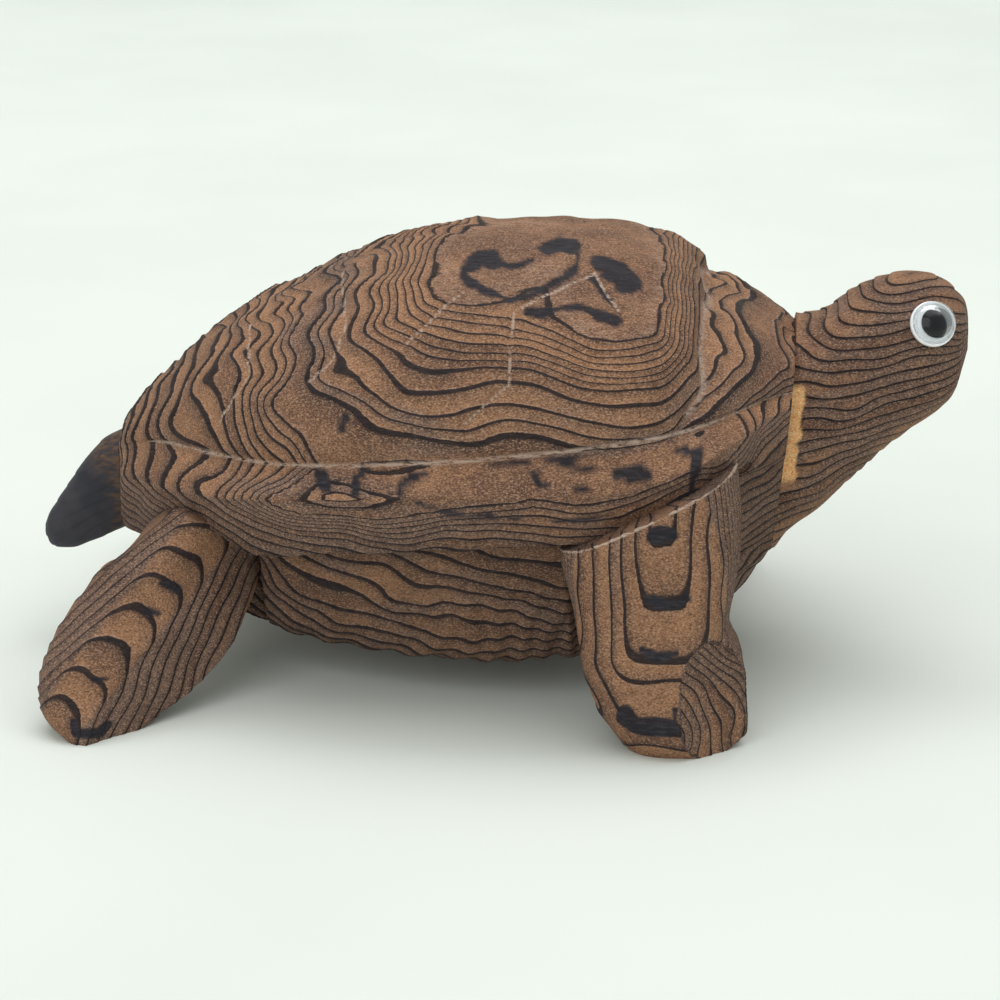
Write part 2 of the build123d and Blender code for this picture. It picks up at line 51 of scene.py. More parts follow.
# Cross sections of the shell block: place along half_length; top, crease, crest, edge, lip, belly
# and keel heights of shell_top; crease, crest, edge, lip and belly half widths of shell_half_width
BODY_SHARES = np.array([
    (-0.825, 0.478, 0.430, 0.397, 0.314, 0.306, 0.286, 0.275, 0.065, 0.080, 0.072, 0.065, 0.030),
    (-0.815, 0.505, 0.450, 0.410, 0.312, 0.305, 0.285, 0.272, 0.105, 0.130, 0.120, 0.085, 0.045),
    (-0.795, 0.559, 0.490, 0.435, 0.308, 0.300, 0.282, 0.266, 0.195, 0.250, 0.230, 0.125, 0.075),
    (-0.749, 0.612, 0.525, 0.450, 0.312, 0.302, 0.260, 0.242, 0.300, 0.375, 0.345, 0.190, 0.125),
    (-0.664, 0.697, 0.552, 0.465, 0.328, 0.315, 0.205, 0.185, 0.440, 0.545, 0.510, 0.320, 0.215),
    (-0.544, 0.797, 0.563, 0.485, 0.345, 0.331, 0.145, 0.128, 0.625, 0.735, 0.700, 0.530, 0.370),
    (-0.389, 0.878, 0.577, 0.515, 0.377, 0.362, 0.120, 0.100, 0.800, 0.890, 0.855, 0.715, 0.530),
    (-0.204, 0.966, 0.597, 0.538, 0.410, 0.395, 0.110, 0.090, 0.890, 0.975, 0.940, 0.810, 0.630),
    (0.011, 1.000, 0.620, 0.550, 0.430, 0.415, 0.103, 0.085, 0.915, 1.000, 0.965, 0.835, 0.670),
    (0.211, 1.000, 0.648, 0.562, 0.448, 0.433, 0.120, 0.100, 0.915, 1.000, 0.965, 0.835, 0.665),
    (0.361, 0.969, 0.672, 0.590, 0.490, 0.475, 0.138, 0.115, 0.880, 0.970, 0.940, 0.825, 0.590),
    (0.436, 0.921, 0.683, 0.615, 0.520, 0.505, 0.160, 0.124, 0.810, 0.930, 0.900, 0.790, 0.500),
    (0.471, 0.882, 0.690, 0.628, 0.535, 0.520, 0.180, 0.132, 0.770, 0.895, 0.865, 0.760, 0.450),
    (0.526, 0.852, 0.700, 0.650, 0.555, 0.540, 0.230, 0.155, 0.680, 0.790, 0.760, 0.650, 0.390),
    (0.586, 0.818, 0.705, 0.668, 0.570, 0.545, 0.304, 0.240, 0.530, 0.620, 0.595, 0.510, 0.330),
    (0.651, 0.768, 0.700, 0.675, 0.570, 0.545, 0.375, 0.318, 0.400, 0.450, 0.435, 0.385, 0.270),
    (0.711, 0.740, 0.690, 0.670, 0.575, 0.555, 0.430, 0.380, 0.310, 0.350, 0.340, 0.300, 0.210),
])

# Head and neck: place; low and high of head_top; half width of neck_half_width
HEAD_SHARES = np.array([
    (0.496, 0.138, 0.880, 1.000), (0.570, 0.237, 0.880, 1.000), (0.640, 0.338, 0.884, 0.975),
    (0.700, 0.399, 0.901, 0.895), (0.760, 0.469, 0.953, 0.800), (0.820, 0.542, 0.985, 0.735),
    (0.875, 0.595, 1.000, 0.706), (0.921, 0.637, 0.991, 0.685), (0.955, 0.668, 0.975, 0.620),
    (0.978, 0.706, 0.953, 0.530), (0.992, 0.768, 0.930, 0.410), (1.000, 0.812, 0.893, 0.270),
])

# Tail, from its tip to its root: place; low and high of tail_top; half thickness of its own
TAIL_SHARES = np.array([
    (-1.000, 0.447, 0.530, 0.220), (-0.992, 0.417, 0.574, 0.380), (-0.975, 0.399, 0.630, 0.550),
    (-0.944, 0.402, 0.728, 0.700), (-0.900, 0.438, 0.861, 0.860), (-0.861, 0.473, 0.947, 0.950),
    (-0.815, 0.524, 1.000, 1.000),
])

# Front leg: level of its height; back and front of half_length; inner and outer of the stance
FRONT_LEG_SHARES = np.array([
    (0.000, 0.317, 0.523, 0.765, 0.955), (0.060, 0.292, 0.556, 0.730, 0.985),
    (0.150, 0.259, 0.556, 0.700, 0.993), (0.275, 0.233, 0.554, 0.660, 0.990),
    (0.363, 0.220, 0.537, 0.610, 0.980), (0.450, 0.209, 0.515, 0.570, 0.965),
    (0.575, 0.193, 0.528, 0.500, 0.950), (0.700, 0.179, 0.537, 0.450, 0.930),
    (0.850, 0.172, 0.534, 0.420, 0.905), (1.040, 0.165, 0.523, 0.380, 0.870),
])

# Rear leg: level; outer and inner ends of its oval (x, y); half thickness
REAR_LEG_SHARES = np.array([
    (0.000, -0.826, 0.939, -0.682, 0.878, 0.098), (0.080, -0.858, 0.943, -0.620, 0.776, 0.118),
    (0.200, -0.874, 0.914, -0.551, 0.673, 0.133), (0.400, -0.848, 0.857, -0.510, 0.510, 0.143),
    (0.660, -0.768, 0.740, -0.493, 0.306, 0.143), (0.860, -0.680, 0.650, -0.496, 0.245, 0.133),
    (1.020, -0.620, 0.590, -0.496, 0.224, 0.122),
])

# Legs: their top's height of shell_top; their seat of shell_half_width; the outline of their pocket
# on that seat, as x of half_length and height of the top; a point on their facet, of half_length,
# stance and top; and the direction that the facet looks in
LEG_SHARES = {
    "front": {
        "top": 0.593, "seat": 0.667, "crease": (0.435, -0.976, 0.280), "facet": (0.62, -0.78, 0.03),
        "pocket": [(0.183, 0.700), (0.534, 1.010), (0.860, 1.010)],
    },
    "rear": {
        "top": 0.444, "seat": 0.405, "crease": (-0.638, -0.799, 0.360), "facet": (0.71, -0.70, 0.07),
        "pocket": [(-1.150, 0.640), (-0.760, 0.680), (-0.628, 0.985), (-0.475, 0.850), (-0.450, 0.830)],
    },
}
TAIL_TOP_SHARE, TAIL_RELIEF = 0.501, 0.12  # its height of shell_top, and its grain's in millimetres
NECK_JOINT_SHARES = (0.627, 0.607)  # the neck's joint: its place of half_length at a height of shell_top
VALLEY_SHARE = 0.461  # place of the valley between dome and collar, of half_length

# In millimetres: how far a leg's inner face and its pocket's wall lie past the seat, hidden in the
# wood, and how far the ledge on a leg's top stands over the pocket's outline
LEG_INSET, POCKET_INSET, LEDGE_HEIGHT = 0.35, 0.5, 0.7

# Knife work in millimetres: half widths of its cuts, and depths of the crease between dome and rim, of
# the scallops along the belly and of the mouth
KNIFE_WIDTH, MOUTH_WIDTH = 0.38, 0.45
CREASE_DEPTH, SCALLOP_DEPTH, MOUTH_DEPTH = 0.4, 0.6, 0.6

# Points that round the belly: one this far from the lip down to the belly's corner and wider by a
# share of the lip's width, and one between the keel and the corner, at a share of the corner's width
BELLY_SHARES = (0.45, 0.03, 0.55)
DOME_POWER = 2.15  # 2 would make the dome's section an ellipse; more makes it fuller

# An eye's seat: its middle on the left side in millimetres, how far it looks up and forward, and the
# radius of the flat cut for it
EYE_MIDDLE = (66.7846, 8.8084, 55.8658)
EYE_TILT, EYE_TURN = math.radians(28), math.radians(15)
EYE_FLAT_RADIUS = 3.62

CAMERA_AIM = (0.0008, 0, 0.0234)  # what the camera looks at, in metres

# Distances from the tree's heart at which dark rings show on the shell block, in millimetres
RING_PLACES = np.array([
    0, 12, 14.8, 17.5, 20.1, 22.6, 25.0, 27.2, 29.2, 31.0, 32.9, 34.7, 36.4, 38.3, 40.0, 41.9, 43.9,
    45.8, 47.5, 49.0, 50.1, 51.1, 52.0, 53.0, 53.9, 54.9, 58.1, 59.2, 60.6, 62.4, 63.4, 63.8, 64.2,
    64.6, 65.0, 65.35, 65.65, 65.95, 72.0,
])

# Places of the rings on the front leg's outer face: (x, number) over its sides, (level, number) down it
LEG_SIDE_RINGS = np.array([
    (13.2, 8), (14.6, 7), (16.0, 6), (18.1, 5), (20.5, 4), (22.0, 3), (24.0, 2), (28.1, 0),
    (32.5, 2), (34.8, 3), (36.4, 4), (37.6, 5), (38.6, 6), (39.6, 7),
])
LEG_FOOT_RINGS = np.array([
    (-16, 7), (-13.2, 6), (-11.3, 5), (-3.4, 4), (-0.45, 3), (6.7, 2), (16.4, 1), (24, 0),
])

# Knife lines between the scutes, in millimetres on the slanted drawing plane of the right side
SCUTE_LINES = [
    [(6.2, 50.6), (16.4, 56.6), (20.4, 50.4)],
    [(-2.7, 53.3), (-10.5, 44.6)],
    [(5.4, 50.2), (4.8, 45.0), (5.4, 39.1), (1.7, 35.8), (-1.5, 32.5)],
    [(-23.3, 57.6), (-19.9, 47.6), (-21.1, 42.7), (-24.9, 39.0)],
    [(-36.5, 48.1), (-35.0, 40.1), (-39.3, 32.8)],
    [(7.5, 25.9), (9.2, 21.0)],
]

# The mouth's notch, drawn the same way
MOUTH_LINE = [(73.2, 50.0), (71.4, 48.4), (69.4, 47.6)]

# Dark stains where the cut runs flat along a ring: corners of a band on the drawing plane, radius
ISLAND_STAINS = [
    ([(-2.0, 56.9), (-1.2, 58.6), (0.3, 58.6), (1.4, 57.6)], 1.25),
    ([(1.4, 57.7), (4.2, 56.9), (5.8, 57.3), (8.0, 59.6)], 0.45),
    ([(8.9, 60.4), (10.7, 61.0), (12.5, 60.5)], 1.45), ([(13.2, 60.2), (13.9, 58.3), (13.3, 56.4)], 0.45),
    ([(13.3, 56.4), (10.3, 53.9), (7.0, 52.1), (4.6, 51.6), (1.7, 52.5), (-1.1, 53.9)], 0.66),
    ([(-1.1, 53.9), (-2.7, 55.2), (-3.0, 56.4), (-2.3, 57.6)], 0.8),
    ([(17.4, 57.7), (20.0, 56.8), (22.0, 54.6), (21.0, 54.4)], 1.6), ([(16.4, 58.1), (17.6, 57.9)], 1.1),
    ([(18.4, 56.2), (20.8, 55.0)], 1.2),
    ([(16.0, 55.6), (19.4, 51.0), (20.4, 49.8)], 0.36),
    ([(7.2, 49.8), (9.5, 49.6)], 0.9), ([(9.5, 49.8), (12.3, 50.5), (15.5, 50.3), (18.0, 49.4)], 0.58),
    ([(17.8, 49.4), (20.0, 48.9)], 0.95), ([(-18.6, 33.6), (-18.9, 31.8)], 0.6),
]
RIM_STAINS = [
    ([(-22.2, 25.2), (-21.2, 23.7)], 1.1), ([(-15.4, 25.9), (-17.0, 24.9), (-16.8, 22.9)], 0.6),
    ([(-8.2, 25.2), (-10.0, 24.3), (-9.9, 22.6)], 0.7),
    ([(-8.3, 25.3), (-3.2, 27.1), (12.6, 28.3), (20.3, 28.9)], 0.2),
    ([(-9.0, 22.0), (-3.2, 20.2), (12.6, 19.4), (27.0, 21.3), (32.7, 24.7)], 0.22),
    ([(21.6, 26.7), (25.0, 26.5)], 1.3), ([(9.0, 26.1), (11.1, 27.1), (20.5, 27.5)], 0.22),
    ([(9.0, 26.0), (10.4, 24.5), (16.9, 24.0)], 0.45), ([(29.9, 30.2), (33.0, 30.2)], 0.5),
    ([(32.7, 29.8), (32.1, 27.0)], 0.85), ([(32.1, 27.0), (31.6, 24.2)], 0.4),
]
FRONT_LEG_STAINS = [
    ([(26.6, 17.9), (29.4, 18.0)], 1.05), ([(26.6, 8.6), (29.3, 7.8), (31.4, 9.0)], 0.8),
    ([(25.4, 1.3), (27.6, 0.3), (30.2, 1.1)], 0.6),
    ([(23.2, -8.4), (24.6, -9.6), (29.4, -9.6)], 1.6), ([(30.2, -9.4), (30.2, -7.0)], 0.6),
]
REAR_LEG_STAINS = [
    ([(-57.6, -12.0), (-57.2, -13.4), (-53.8, -13.6), (-53.0, -12.2)], 0.6),
    ([(-55.0, -5.6), (-53.0, -5.5)], 0.35), ([(-48.4, 4.6), (-46.8, 4.0)], 0.6),
    ([(-46.4, 8.6), (-44.6, 7.8)], 0.6),
]


def tone(red, green, blue):
    """A colour from its 0 to 255 values as seen on a screen."""
    seen = np.array([red, green, blue]) / 255
    low, high = seen / 12.92, ((seen + 0.055) / 1.055) ** 2.4
    return tuple(float(v) for v in np.where(seen <= 0.04045, low, high))


class CarvingSizes(bpy.types.PropertyGroup):
    """Overall sizes of the carved blocks."""

    half_length: bpy.props.FloatProperty(
        name="Half length", description="Half of the figurine's length", default=0.0726, unit="LENGTH"
    )
    shell_top: bpy.props.FloatProperty(
        name="Shell top", description="Height of the dome", default=0.0675, unit="LENGTH"
    )
    shell_half_width: bpy.props.FloatProperty(
        name="Shell half width", description="Half width over the rim", default=0.042, unit="LENGTH"
    )
    stance_reach: bpy.props.FloatProperty(
        name="Stance reach", description="How far the feet stand out past the rim", default=0.007,
        unit="LENGTH",
    )
    head_top: bpy.props.FloatProperty(
        name="Head top", description="Height of the crown", default=0.0616, unit="LENGTH"
    )
    neck_half_width: bpy.props.FloatProperty(
        name="Neck half width", description="Half width of the neck at its root", default=0.015,
        unit="LENGTH",
    )
    tail_half_thickness: bpy.props.FloatProperty(
        name="Tail half thickness", description="Half thickness of the tail's root", default=0.0045,
        unit="LENGTH",
    )
    neck_lean: bpy.props.FloatProperty(
        name="Neck joint lean", description="Lean of the glued joint of the neck",
        default=math.radians(5), subtype="ANGLE",
    )


class GrainSizes(bpy.types.PropertyGroup):
    """Heights and widths of the worn grain and of the knife work."""

    ring_relief: bpy.props.FloatProperty(
        name="Ring relief", description="Height of the raised rings", default=0.00026, unit="LENGTH"
    )
    ring_sway: bpy.props.FloatProperty(
        name="Ring sway", description="How far the rings waver", default=0.0005, unit="LENGTH"
    )
    knife_depth: bpy.props.FloatProperty(
        name="Knife depth", description="Depth of the lines cut between the scutes", default=0.0005,
        unit="LENGTH",
    )
    valley_depth: bpy.props.FloatProperty(
        name="Valley depth", description="Depth of the groove between dome and collar",
        default=0.0014, unit="LENGTH",
    )


class EyeSizes(bpy.types.PropertyGroup):
    """Sizes of a rolling eye."""

    diameter: bpy.props.FloatProperty(
        name="Diameter", description="Diameter of the white backing", default=0.007, unit="LENGTH"
    )
    backing: bpy.props.FloatProperty(
        name="Backing", description="Thickness of the white backing", default=0.0007, unit="LENGTH"
    )
    pupil: bpy.props.FloatProperty(
        name="Pupil", description="Diameter of the loose black disc", default=0.0047, unit="LENGTH"
    )
    pupil_thickness: bpy.props.FloatProperty(
        name="Pupil thickness", description="Thickness of the black disc", default=0.0005,
        unit="LENGTH",
    )
    pupil_offset: bpy.props.FloatProperty(
        name="Pupil offset", description="How far the disc lies off the eye's axis", default=0.0004,
        unit="LENGTH",
    )
    play: bpy.props.FloatProperty(
        name="Play", description="Clearance around the disc", default=0.00008, unit="LENGTH"
    )
    wall: bpy.props.FloatProperty(
        name="Cap wall", description="Wall of the clear cap", default=0.00035, unit="LENGTH"
    )
    cap_height: bpy.props.FloatProperty(
        name="Cap height", description="Height of the clear cap over the backing", default=0.0023,
        unit="LENGTH",
    )


class FinishColours(bpy.types.PropertyGroup):
    """The main colours of the finishes; the tones that vary them are the recipes' own."""

    flat_cut: bpy.props.FloatVectorProperty(
        name="Flat-cut wood", description="Soft wood where the cut runs along a ring",
        default=tone(162, 118, 88), subtype="COLOR",
    )
    cross_cut: bpy.props.FloatVectorProperty(
        name="Cross-cut wood", description="Soft wood where the cut crosses the rings",
        default=tone(124, 99, 88), subtype="COLOR",
    )
    weathered: bpy.props.FloatVectorProperty(
        name="Weathered wood", description="Soft wood of the darker seasons",
        default=tone(112, 81, 66), subtype="COLOR",
    )
    ring: bpy.props.FloatVectorProperty(
        name="Ring", description="Dark line of each ring", default=tone(27, 22, 25), subtype="COLOR"
    )
    stain: bpy.props.FloatVectorProperty(
        name="Stain", description="Dark stains of dome, rim and legs", default=tone(30, 29, 36),
        subtype="COLOR",
    )
    raw: bpy.props.FloatVectorProperty(
        name="Raw wood", description="Bare orange strip at the neck's joint",
        default=tone(238, 152, 90), subtype="COLOR",
    )
    tail: bpy.props.FloatVectorProperty(
        name="Tail", description="Near-black wood of the tail", default=tone(38, 37, 46),
        subtype="COLOR",
    )
    dowel: bpy.props.FloatVectorProperty(
        name="Dowel", description="Turned wood of the dowels", default=tone(196, 160, 116),
        subtype="COLOR",
    )
    white: bpy.props.FloatVectorProperty(
        name="Eye white", description="Plastic of the backings", default=tone(246, 246, 248),
        subtype="COLOR",
    )
    black: bpy.props.FloatVectorProperty(
        name="Eye black", description="Plastic of the pupils", default=tone(9, 9, 11),
        subtype="COLOR",
    )
    paper: bpy.props.FloatVectorProperty(
        name="Paper", description="Paper under and behind the figurine", default=tone(227, 231, 225),
        subtype="COLOR",
    )


class StageSizes(bpy.types.PropertyGroup):
    """Camera and light of the studio."""

    azimuth: bpy.props.FloatProperty(
        name="Azimuth", description="Turn of the camera towards the snout",
        default=math.radians(5), subtype="ANGLE",
    )
    elevation: bpy.props.FloatProperty(
        name="Elevation", description="How steeply the camera looks down",
        default=math.radians(18), subtype="ANGLE",
    )
    distance: bpy.props.FloatProperty(
        name="Distance", description="From the camera to the figurine", default=0.45, unit="LENGTH"
    )
    key_power: bpy.props.FloatProperty(
        name="Key light", description="Power of the soft light overhead in watts", default=6.5
    )
    fill_power: bpy.props.FloatProperty(
        name="Fill light", description="Power of the soft light in front in watts", default=4.0
    )
    back_power: bpy.props.FloatProperty(
        name="Back light", description="Power of the soft light on the paper behind in watts",
        default=5.6,
    )
    air_strength: bpy.props.FloatProperty(
        name="Air", description="Strength of the even light from all sides", default=0.62
    )
    focal_length: bpy.props.FloatProperty(
        name="Focal length", description="Focal length in millimetres on a sensor 36 wide",
        default=102.06,
    )


def settings(context, name):
    """A property group's values by name, with lengths in millimetres."""
    group = getattr(context.scene, name)
    values = {}
    for key in group.__annotations__:
        rna = group.bl_rna.properties[key]
        values[key] = getattr(group, key) / (MM if rna.unit == "LENGTH" else 1)
    return values


def column(rows, number, place):
    """A table's column as a smooth curve of the place.

    Across a span of width w, with t from 0 to 1, it is low + (high − low)(3t² − 2t³)
    + w t(1 − t)(m0(1 − t) − m1 t). Each slope m is the harmonic mean of the slopes on both sides, or 0
    at a peak.
    """
    places, values = rows[:, 0], rows[:, number]
    secants = np.diff(values) / np.diff(places)
    product, total = secants[:-1] * secants[1:], secants[:-1] + secants[1:]
    inner = np.where(product > 0, 2 * product / np.where(total == 0, 1, total), 0)
    slopes = np.concatenate([secants[:1], inner, secants[-1:]])
    span = np.clip(np.searchsorted(places, place, side="right") - 1, 0, len(places) - 2)
    width = places[span + 1] - places[span]
    t = (np.clip(place, places[0], places[-1]) - places[span]) / width
    low, high = values[span], values[span + 1]
    bend = slopes[span] * (1 - t) - slopes[span + 1] * t
    return low + (high - low) * t * t * (3 - 2 * t) + width * t * (1 - t) * bend


def ramp(value, low, high):
    """0 below low, 1 above high and t²(3 − 2t) between them."""
    t = np.clip((value - low) / (high - low), 0, 1)
    return t * t * (3 - 2 * t)


def waves(points, seed, count, shortest, longest, stretch=(1, 1, 1)):
    """Sum of plane waves sin(2π p·d / λ + φ) with random directions and lengths; its spread is 1."""
    chance = np.random.default_rng(seed)
    ways = chance.normal(size=(count, 3))
    ways /= np.linalg.norm(ways, axis=1)[:, None]
    ways = ways / np.array(stretch)
    lengths = chance.uniform(shortest, longest, count)
    starts = chance.uniform(0, 2 * np.pi, count)
    turns = np.einsum("...k,nk->...n", points, 2 * np.pi * ways / lengths[:, None]) + starts
    return np.sin(turns).sum(-1) * math.sqrt(2 / count)


def drawn(points):
    """Places on a plane that leans back by 18°: x, and z cos 18° − |y| sin 18°."""
    lean = math.radians(18)
    up = points[..., 2] * math.cos(lean) - np.abs(points[..., 1]) * math.sin(lean)
    return np.stack([points[..., 0], up], axis=-1)


def line_distance(places, corners):
    """Shortest distance from each place to a line through corners, one straight piece at a time."""
    corners = np.array(corners, float)
    nearest = np.full(places.shape[:-1], np.inf)
    for start, end in zip(corners[:-1], corners[1:]):
        way = end - start
        share = np.clip(((places - start) @ way) / (way @ way), 0, 1)
        gap = np.linalg.norm(places - start - share[..., None] * way, axis=-1)
        nearest = np.minimum(nearest, gap)
    return nearest


def stains(points, bands, seed):
    """1 inside any band and 0 outside it, with an edge 0.35 wide that wavers."""
    places = drawn(points)
    waver = 0.16 * waves(points, seed, 10, 2.5, 7)
    shade = np.zeros(points.shape[:-1])
    for corners, radius in bands:
        depth = radius - line_distance(places, corners) + waver
        shade = np.maximum(shade, ramp(depth, -0.15, 0.2))
    return shade


def worn_height(phase, blur):
    """Mean height of the worn rings over a width of phase, 0 to 1.

    One ring rises as (f / 0.93)^1.5 and drops straight to 0 at f = 1, f being the phase's fraction.
    The mean is the difference of the integral at both ends of the width, divided by the width.
    """
    crest = 0.93

    def integral(value):
        whole = np.floor(value)
        f = value - whole
        rise = crest * (np.minimum(f, crest) / crest) ** 2.5 / 2.5
        over = np.maximum(f - crest, 0)
        fall = over - over**2 / (2 * (1 - crest))
        return whole * (crest / 2.5 + (1 - crest) / 2) + rise + fall

    blur = np.maximum(blur, 0.02)
    return (integral(phase + blur / 2) - integral(phase - blur / 2)) / blur


def grid_steps(grid):
    """Steps of a grid that is closed round its columns, along its rows and its columns."""
    along = np.gradient(grid, axis=0)
    around = (np.roll(grid, -1, axis=1) - np.roll(grid, 1, axis=1)) / 2
    return along, around


def outward(points):
    """Unit normals of a grid, as the cross product of its steps around and along."""
    along, around = grid_steps(points)
    normal = np.cross(around, along)
    size = np.linalg.norm(normal, axis=-1, keepdims=True)
    return normal / np.maximum(size, 1e-9)


def surface_slope(points, values):
    """Size of a value's gradient on a surface, from the metric of the grid's steps."""
    along, around = grid_steps(points)
    d_along, d_around = grid_steps(values)
    e, f, g = (along**2).sum(-1), (along * around).sum(-1), (around**2).sum(-1)
    area = np.maximum(e * g - f * f, 1e-9)
    square = (g * d_along**2 - 2 * f * d_along * d_around + e * d_around**2) / area
    return np.sqrt(np.maximum(square, 0))


def grain_relief(points, rings, distance, height, still=0):
    """Raised rings on a surface, and how flat the cut runs along them.

    The height is worn_height at each place, scaled down where rings crowd: min(height, 0.26 spacing).
    """
    d_along, d_around = grid_steps(rings)
    blur = np.hypot(d_along, d_around)
    spacing = 1 / np.maximum(surface_slope(points, rings), 1e-3)
    size = np.minimum(height, 0.26 * spacing) * (1 - still)
    slope = np.clip(surface_slope(points, distance), 0, 1)
    flat = np.sqrt(1 - slope**2)
    lift = (worn_height(rings, blur) - 0.45) * size
    return lift, flat


def make_piece(context, name, grid, fields, finish, body, node):
    """A closed mesh from a grid whose columns run round, with a pole at both ends, in metres."""
    rows, columns = grid.shape[:2]
    index = np.arange(rows * columns).reshape(rows, columns)
    ahead = np.roll(index, -1, axis=1)
    quads = np.stack([index[:-1], ahead[:-1], ahead[1:], index[1:]], axis=-1).reshape(-1, 4)
    first, last = rows * columns, rows * columns + 1
    start = np.stack([ahead[0], index[0], np.full(columns, first)], axis=-1)
    end = np.stack([index[-1], ahead[-1], np.full(columns, last)], axis=-1)
    points = np.concatenate([grid.reshape(-1, 3), [grid[0].mean(0), grid[-1].mean(0)]]) * MM
    mesh = bpy.data.meshes.new(name)
    mesh.from_pydata(points.tolist(), [], quads.tolist() + start.tolist() + end.tolist())
    for key, values in fields.items():
        attribute = mesh.attributes.new(key, "FLOAT", "POINT")
        ends = [values[0].mean(), values[-1].mean()]
        attribute.data.foreach_set("value", np.append(values.ravel(), ends).astype(np.float32))
    mesh.polygons.foreach_set("use_smooth", np.ones(len(mesh.polygons), bool))
    mesh.materials.append(finish_for(context, finish))
    mesh.update()
    piece = bpy.data.objects.new(name, mesh)
    context.scene.collection.objects.link(piece)
    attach(piece, body)
    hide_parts(node)


def closing_rows(ring, shares, middle=None, push=0):
    """Copies of a ring drawn in towards its middle by shares, pushed along x by push (1 − share²)."""
    middle = ring.mean(0) if middle is None else middle
    return [middle + (ring - middle) * s + [push * (1 - s * s), 0, 0] for s in shares]


def widened(values, before, after):
    """A grid of values with its first and last rows repeated, for the rows that close a piece."""
    return np.pad(values, [(before, after), (0, 0)], mode="edge")


def mirrored(grid):
    """The same grid on the other side of y = 0, with its columns reversed so it still faces out."""
    return grid[:, ::-1] * np.array([1, -1, 1])


class Shade:
    """A socket of a material's node tree; sums, products and the like of it add Math nodes."""

    def __init__(self, tree, socket):
        self.tree, self.socket = tree, socket

    def math(self, operation, *others):
        """A Math node of this value and others."""
        return self.tree.node("ShaderNodeMath", [self, *others], operation=operation)

    def __add__(self, other):
        return self.math("ADD", other)

    __radd__ = __add__

    def __mul__(self, other):
        return self.math("MULTIPLY", other)

    __rmul__ = __mul__

    def __sub__(self, other):
        return self.math("SUBTRACT", other)

    def __rsub__(self, other):
        return self.tree.node("ShaderNodeMath", [other, self], operation="SUBTRACT")

    def fraction(self):
        """What this value has past its whole number."""
        return self.math("FRACT")

    def whole(self):
        """This value's whole number."""
        return self.math("FLOOR")

    def least(self, other):
        """The smaller of this value and another."""
        return self.math("MINIMUM", other)

    def ramp(self, low, high, bottom=0.0, top=1.0):
        """Smooth step of this value from low to high."""
        return self.tree.node(
            "ShaderNodeMapRange", [self, low, high, bottom, top], interpolation_type="SMOOTHSTEP"
        )

    def mix(self, first, second):
        """Two colours mixed by this value."""
        return self.tree.node(
            "ShaderNodeMix", {0: self, 6: first, 7: second}, output=2, data_type="RGBA"
        )


class Finish:
    """A material with its node tree, seen as a maker's recipe."""

    def __init__(self, name, **uniform):
        self.material = bpy.data.materials.new(name)
        self.material.use_nodes = True
        self.nodes, self.links = self.material.node_tree.nodes, self.material.node_tree.links
        self.shader = self.nodes["Principled BSDF"]
        for key, value in uniform.items():
            self.shader.inputs[key.replace("_", " ")].default_value = value

    def node(self, kind, inputs=(), output=0, **options):
        """Any other node, with its inputs given in order or by number, and its options by name."""
        node = self.nodes.new(kind)
        for key, value in options.items():
            setattr(node, key, value)
        pairs = inputs.items() if isinstance(inputs, dict) else enumerate(inputs)
        for key, value in pairs:
            if isinstance(value, Shade):
                self.links.new(value.socket, node.inputs[key])
            elif isinstance(value, tuple):
                node.inputs[key].default_value = (*value, 1)[: len(node.inputs[key].default_value)]
            else:
                node.inputs[key].default_value = value
        return Shade(self, node.outputs[output])

    def feed(self, socket, value):
        """A value led to one of the shader's sockets."""
        self.links.new(value.socket, self.shader.inputs[socket])

    def attribute(self, name):
        """A number kept on the mesh's points."""
        return self.node("ShaderNodeAttribute", output=2, attribute_name=name)

    def places(self, scale=(1, 1, 1)):
        """Object coordinates in metres, stretched by a scale."""
        place = self.node("ShaderNodeTexCoord", output=3)
        return self.node("ShaderNodeVectorMath", [place, scale], operation="MULTIPLY")

    def noise(self, place, scale, detail=2.0, roughness=0.5):
        """Noise from 0 to 1 of a place."""
        return self.node(
            "ShaderNodeTexNoise",
            {"Vector": place, "Scale": scale, "Detail": detail, "Roughness": roughness},
        )


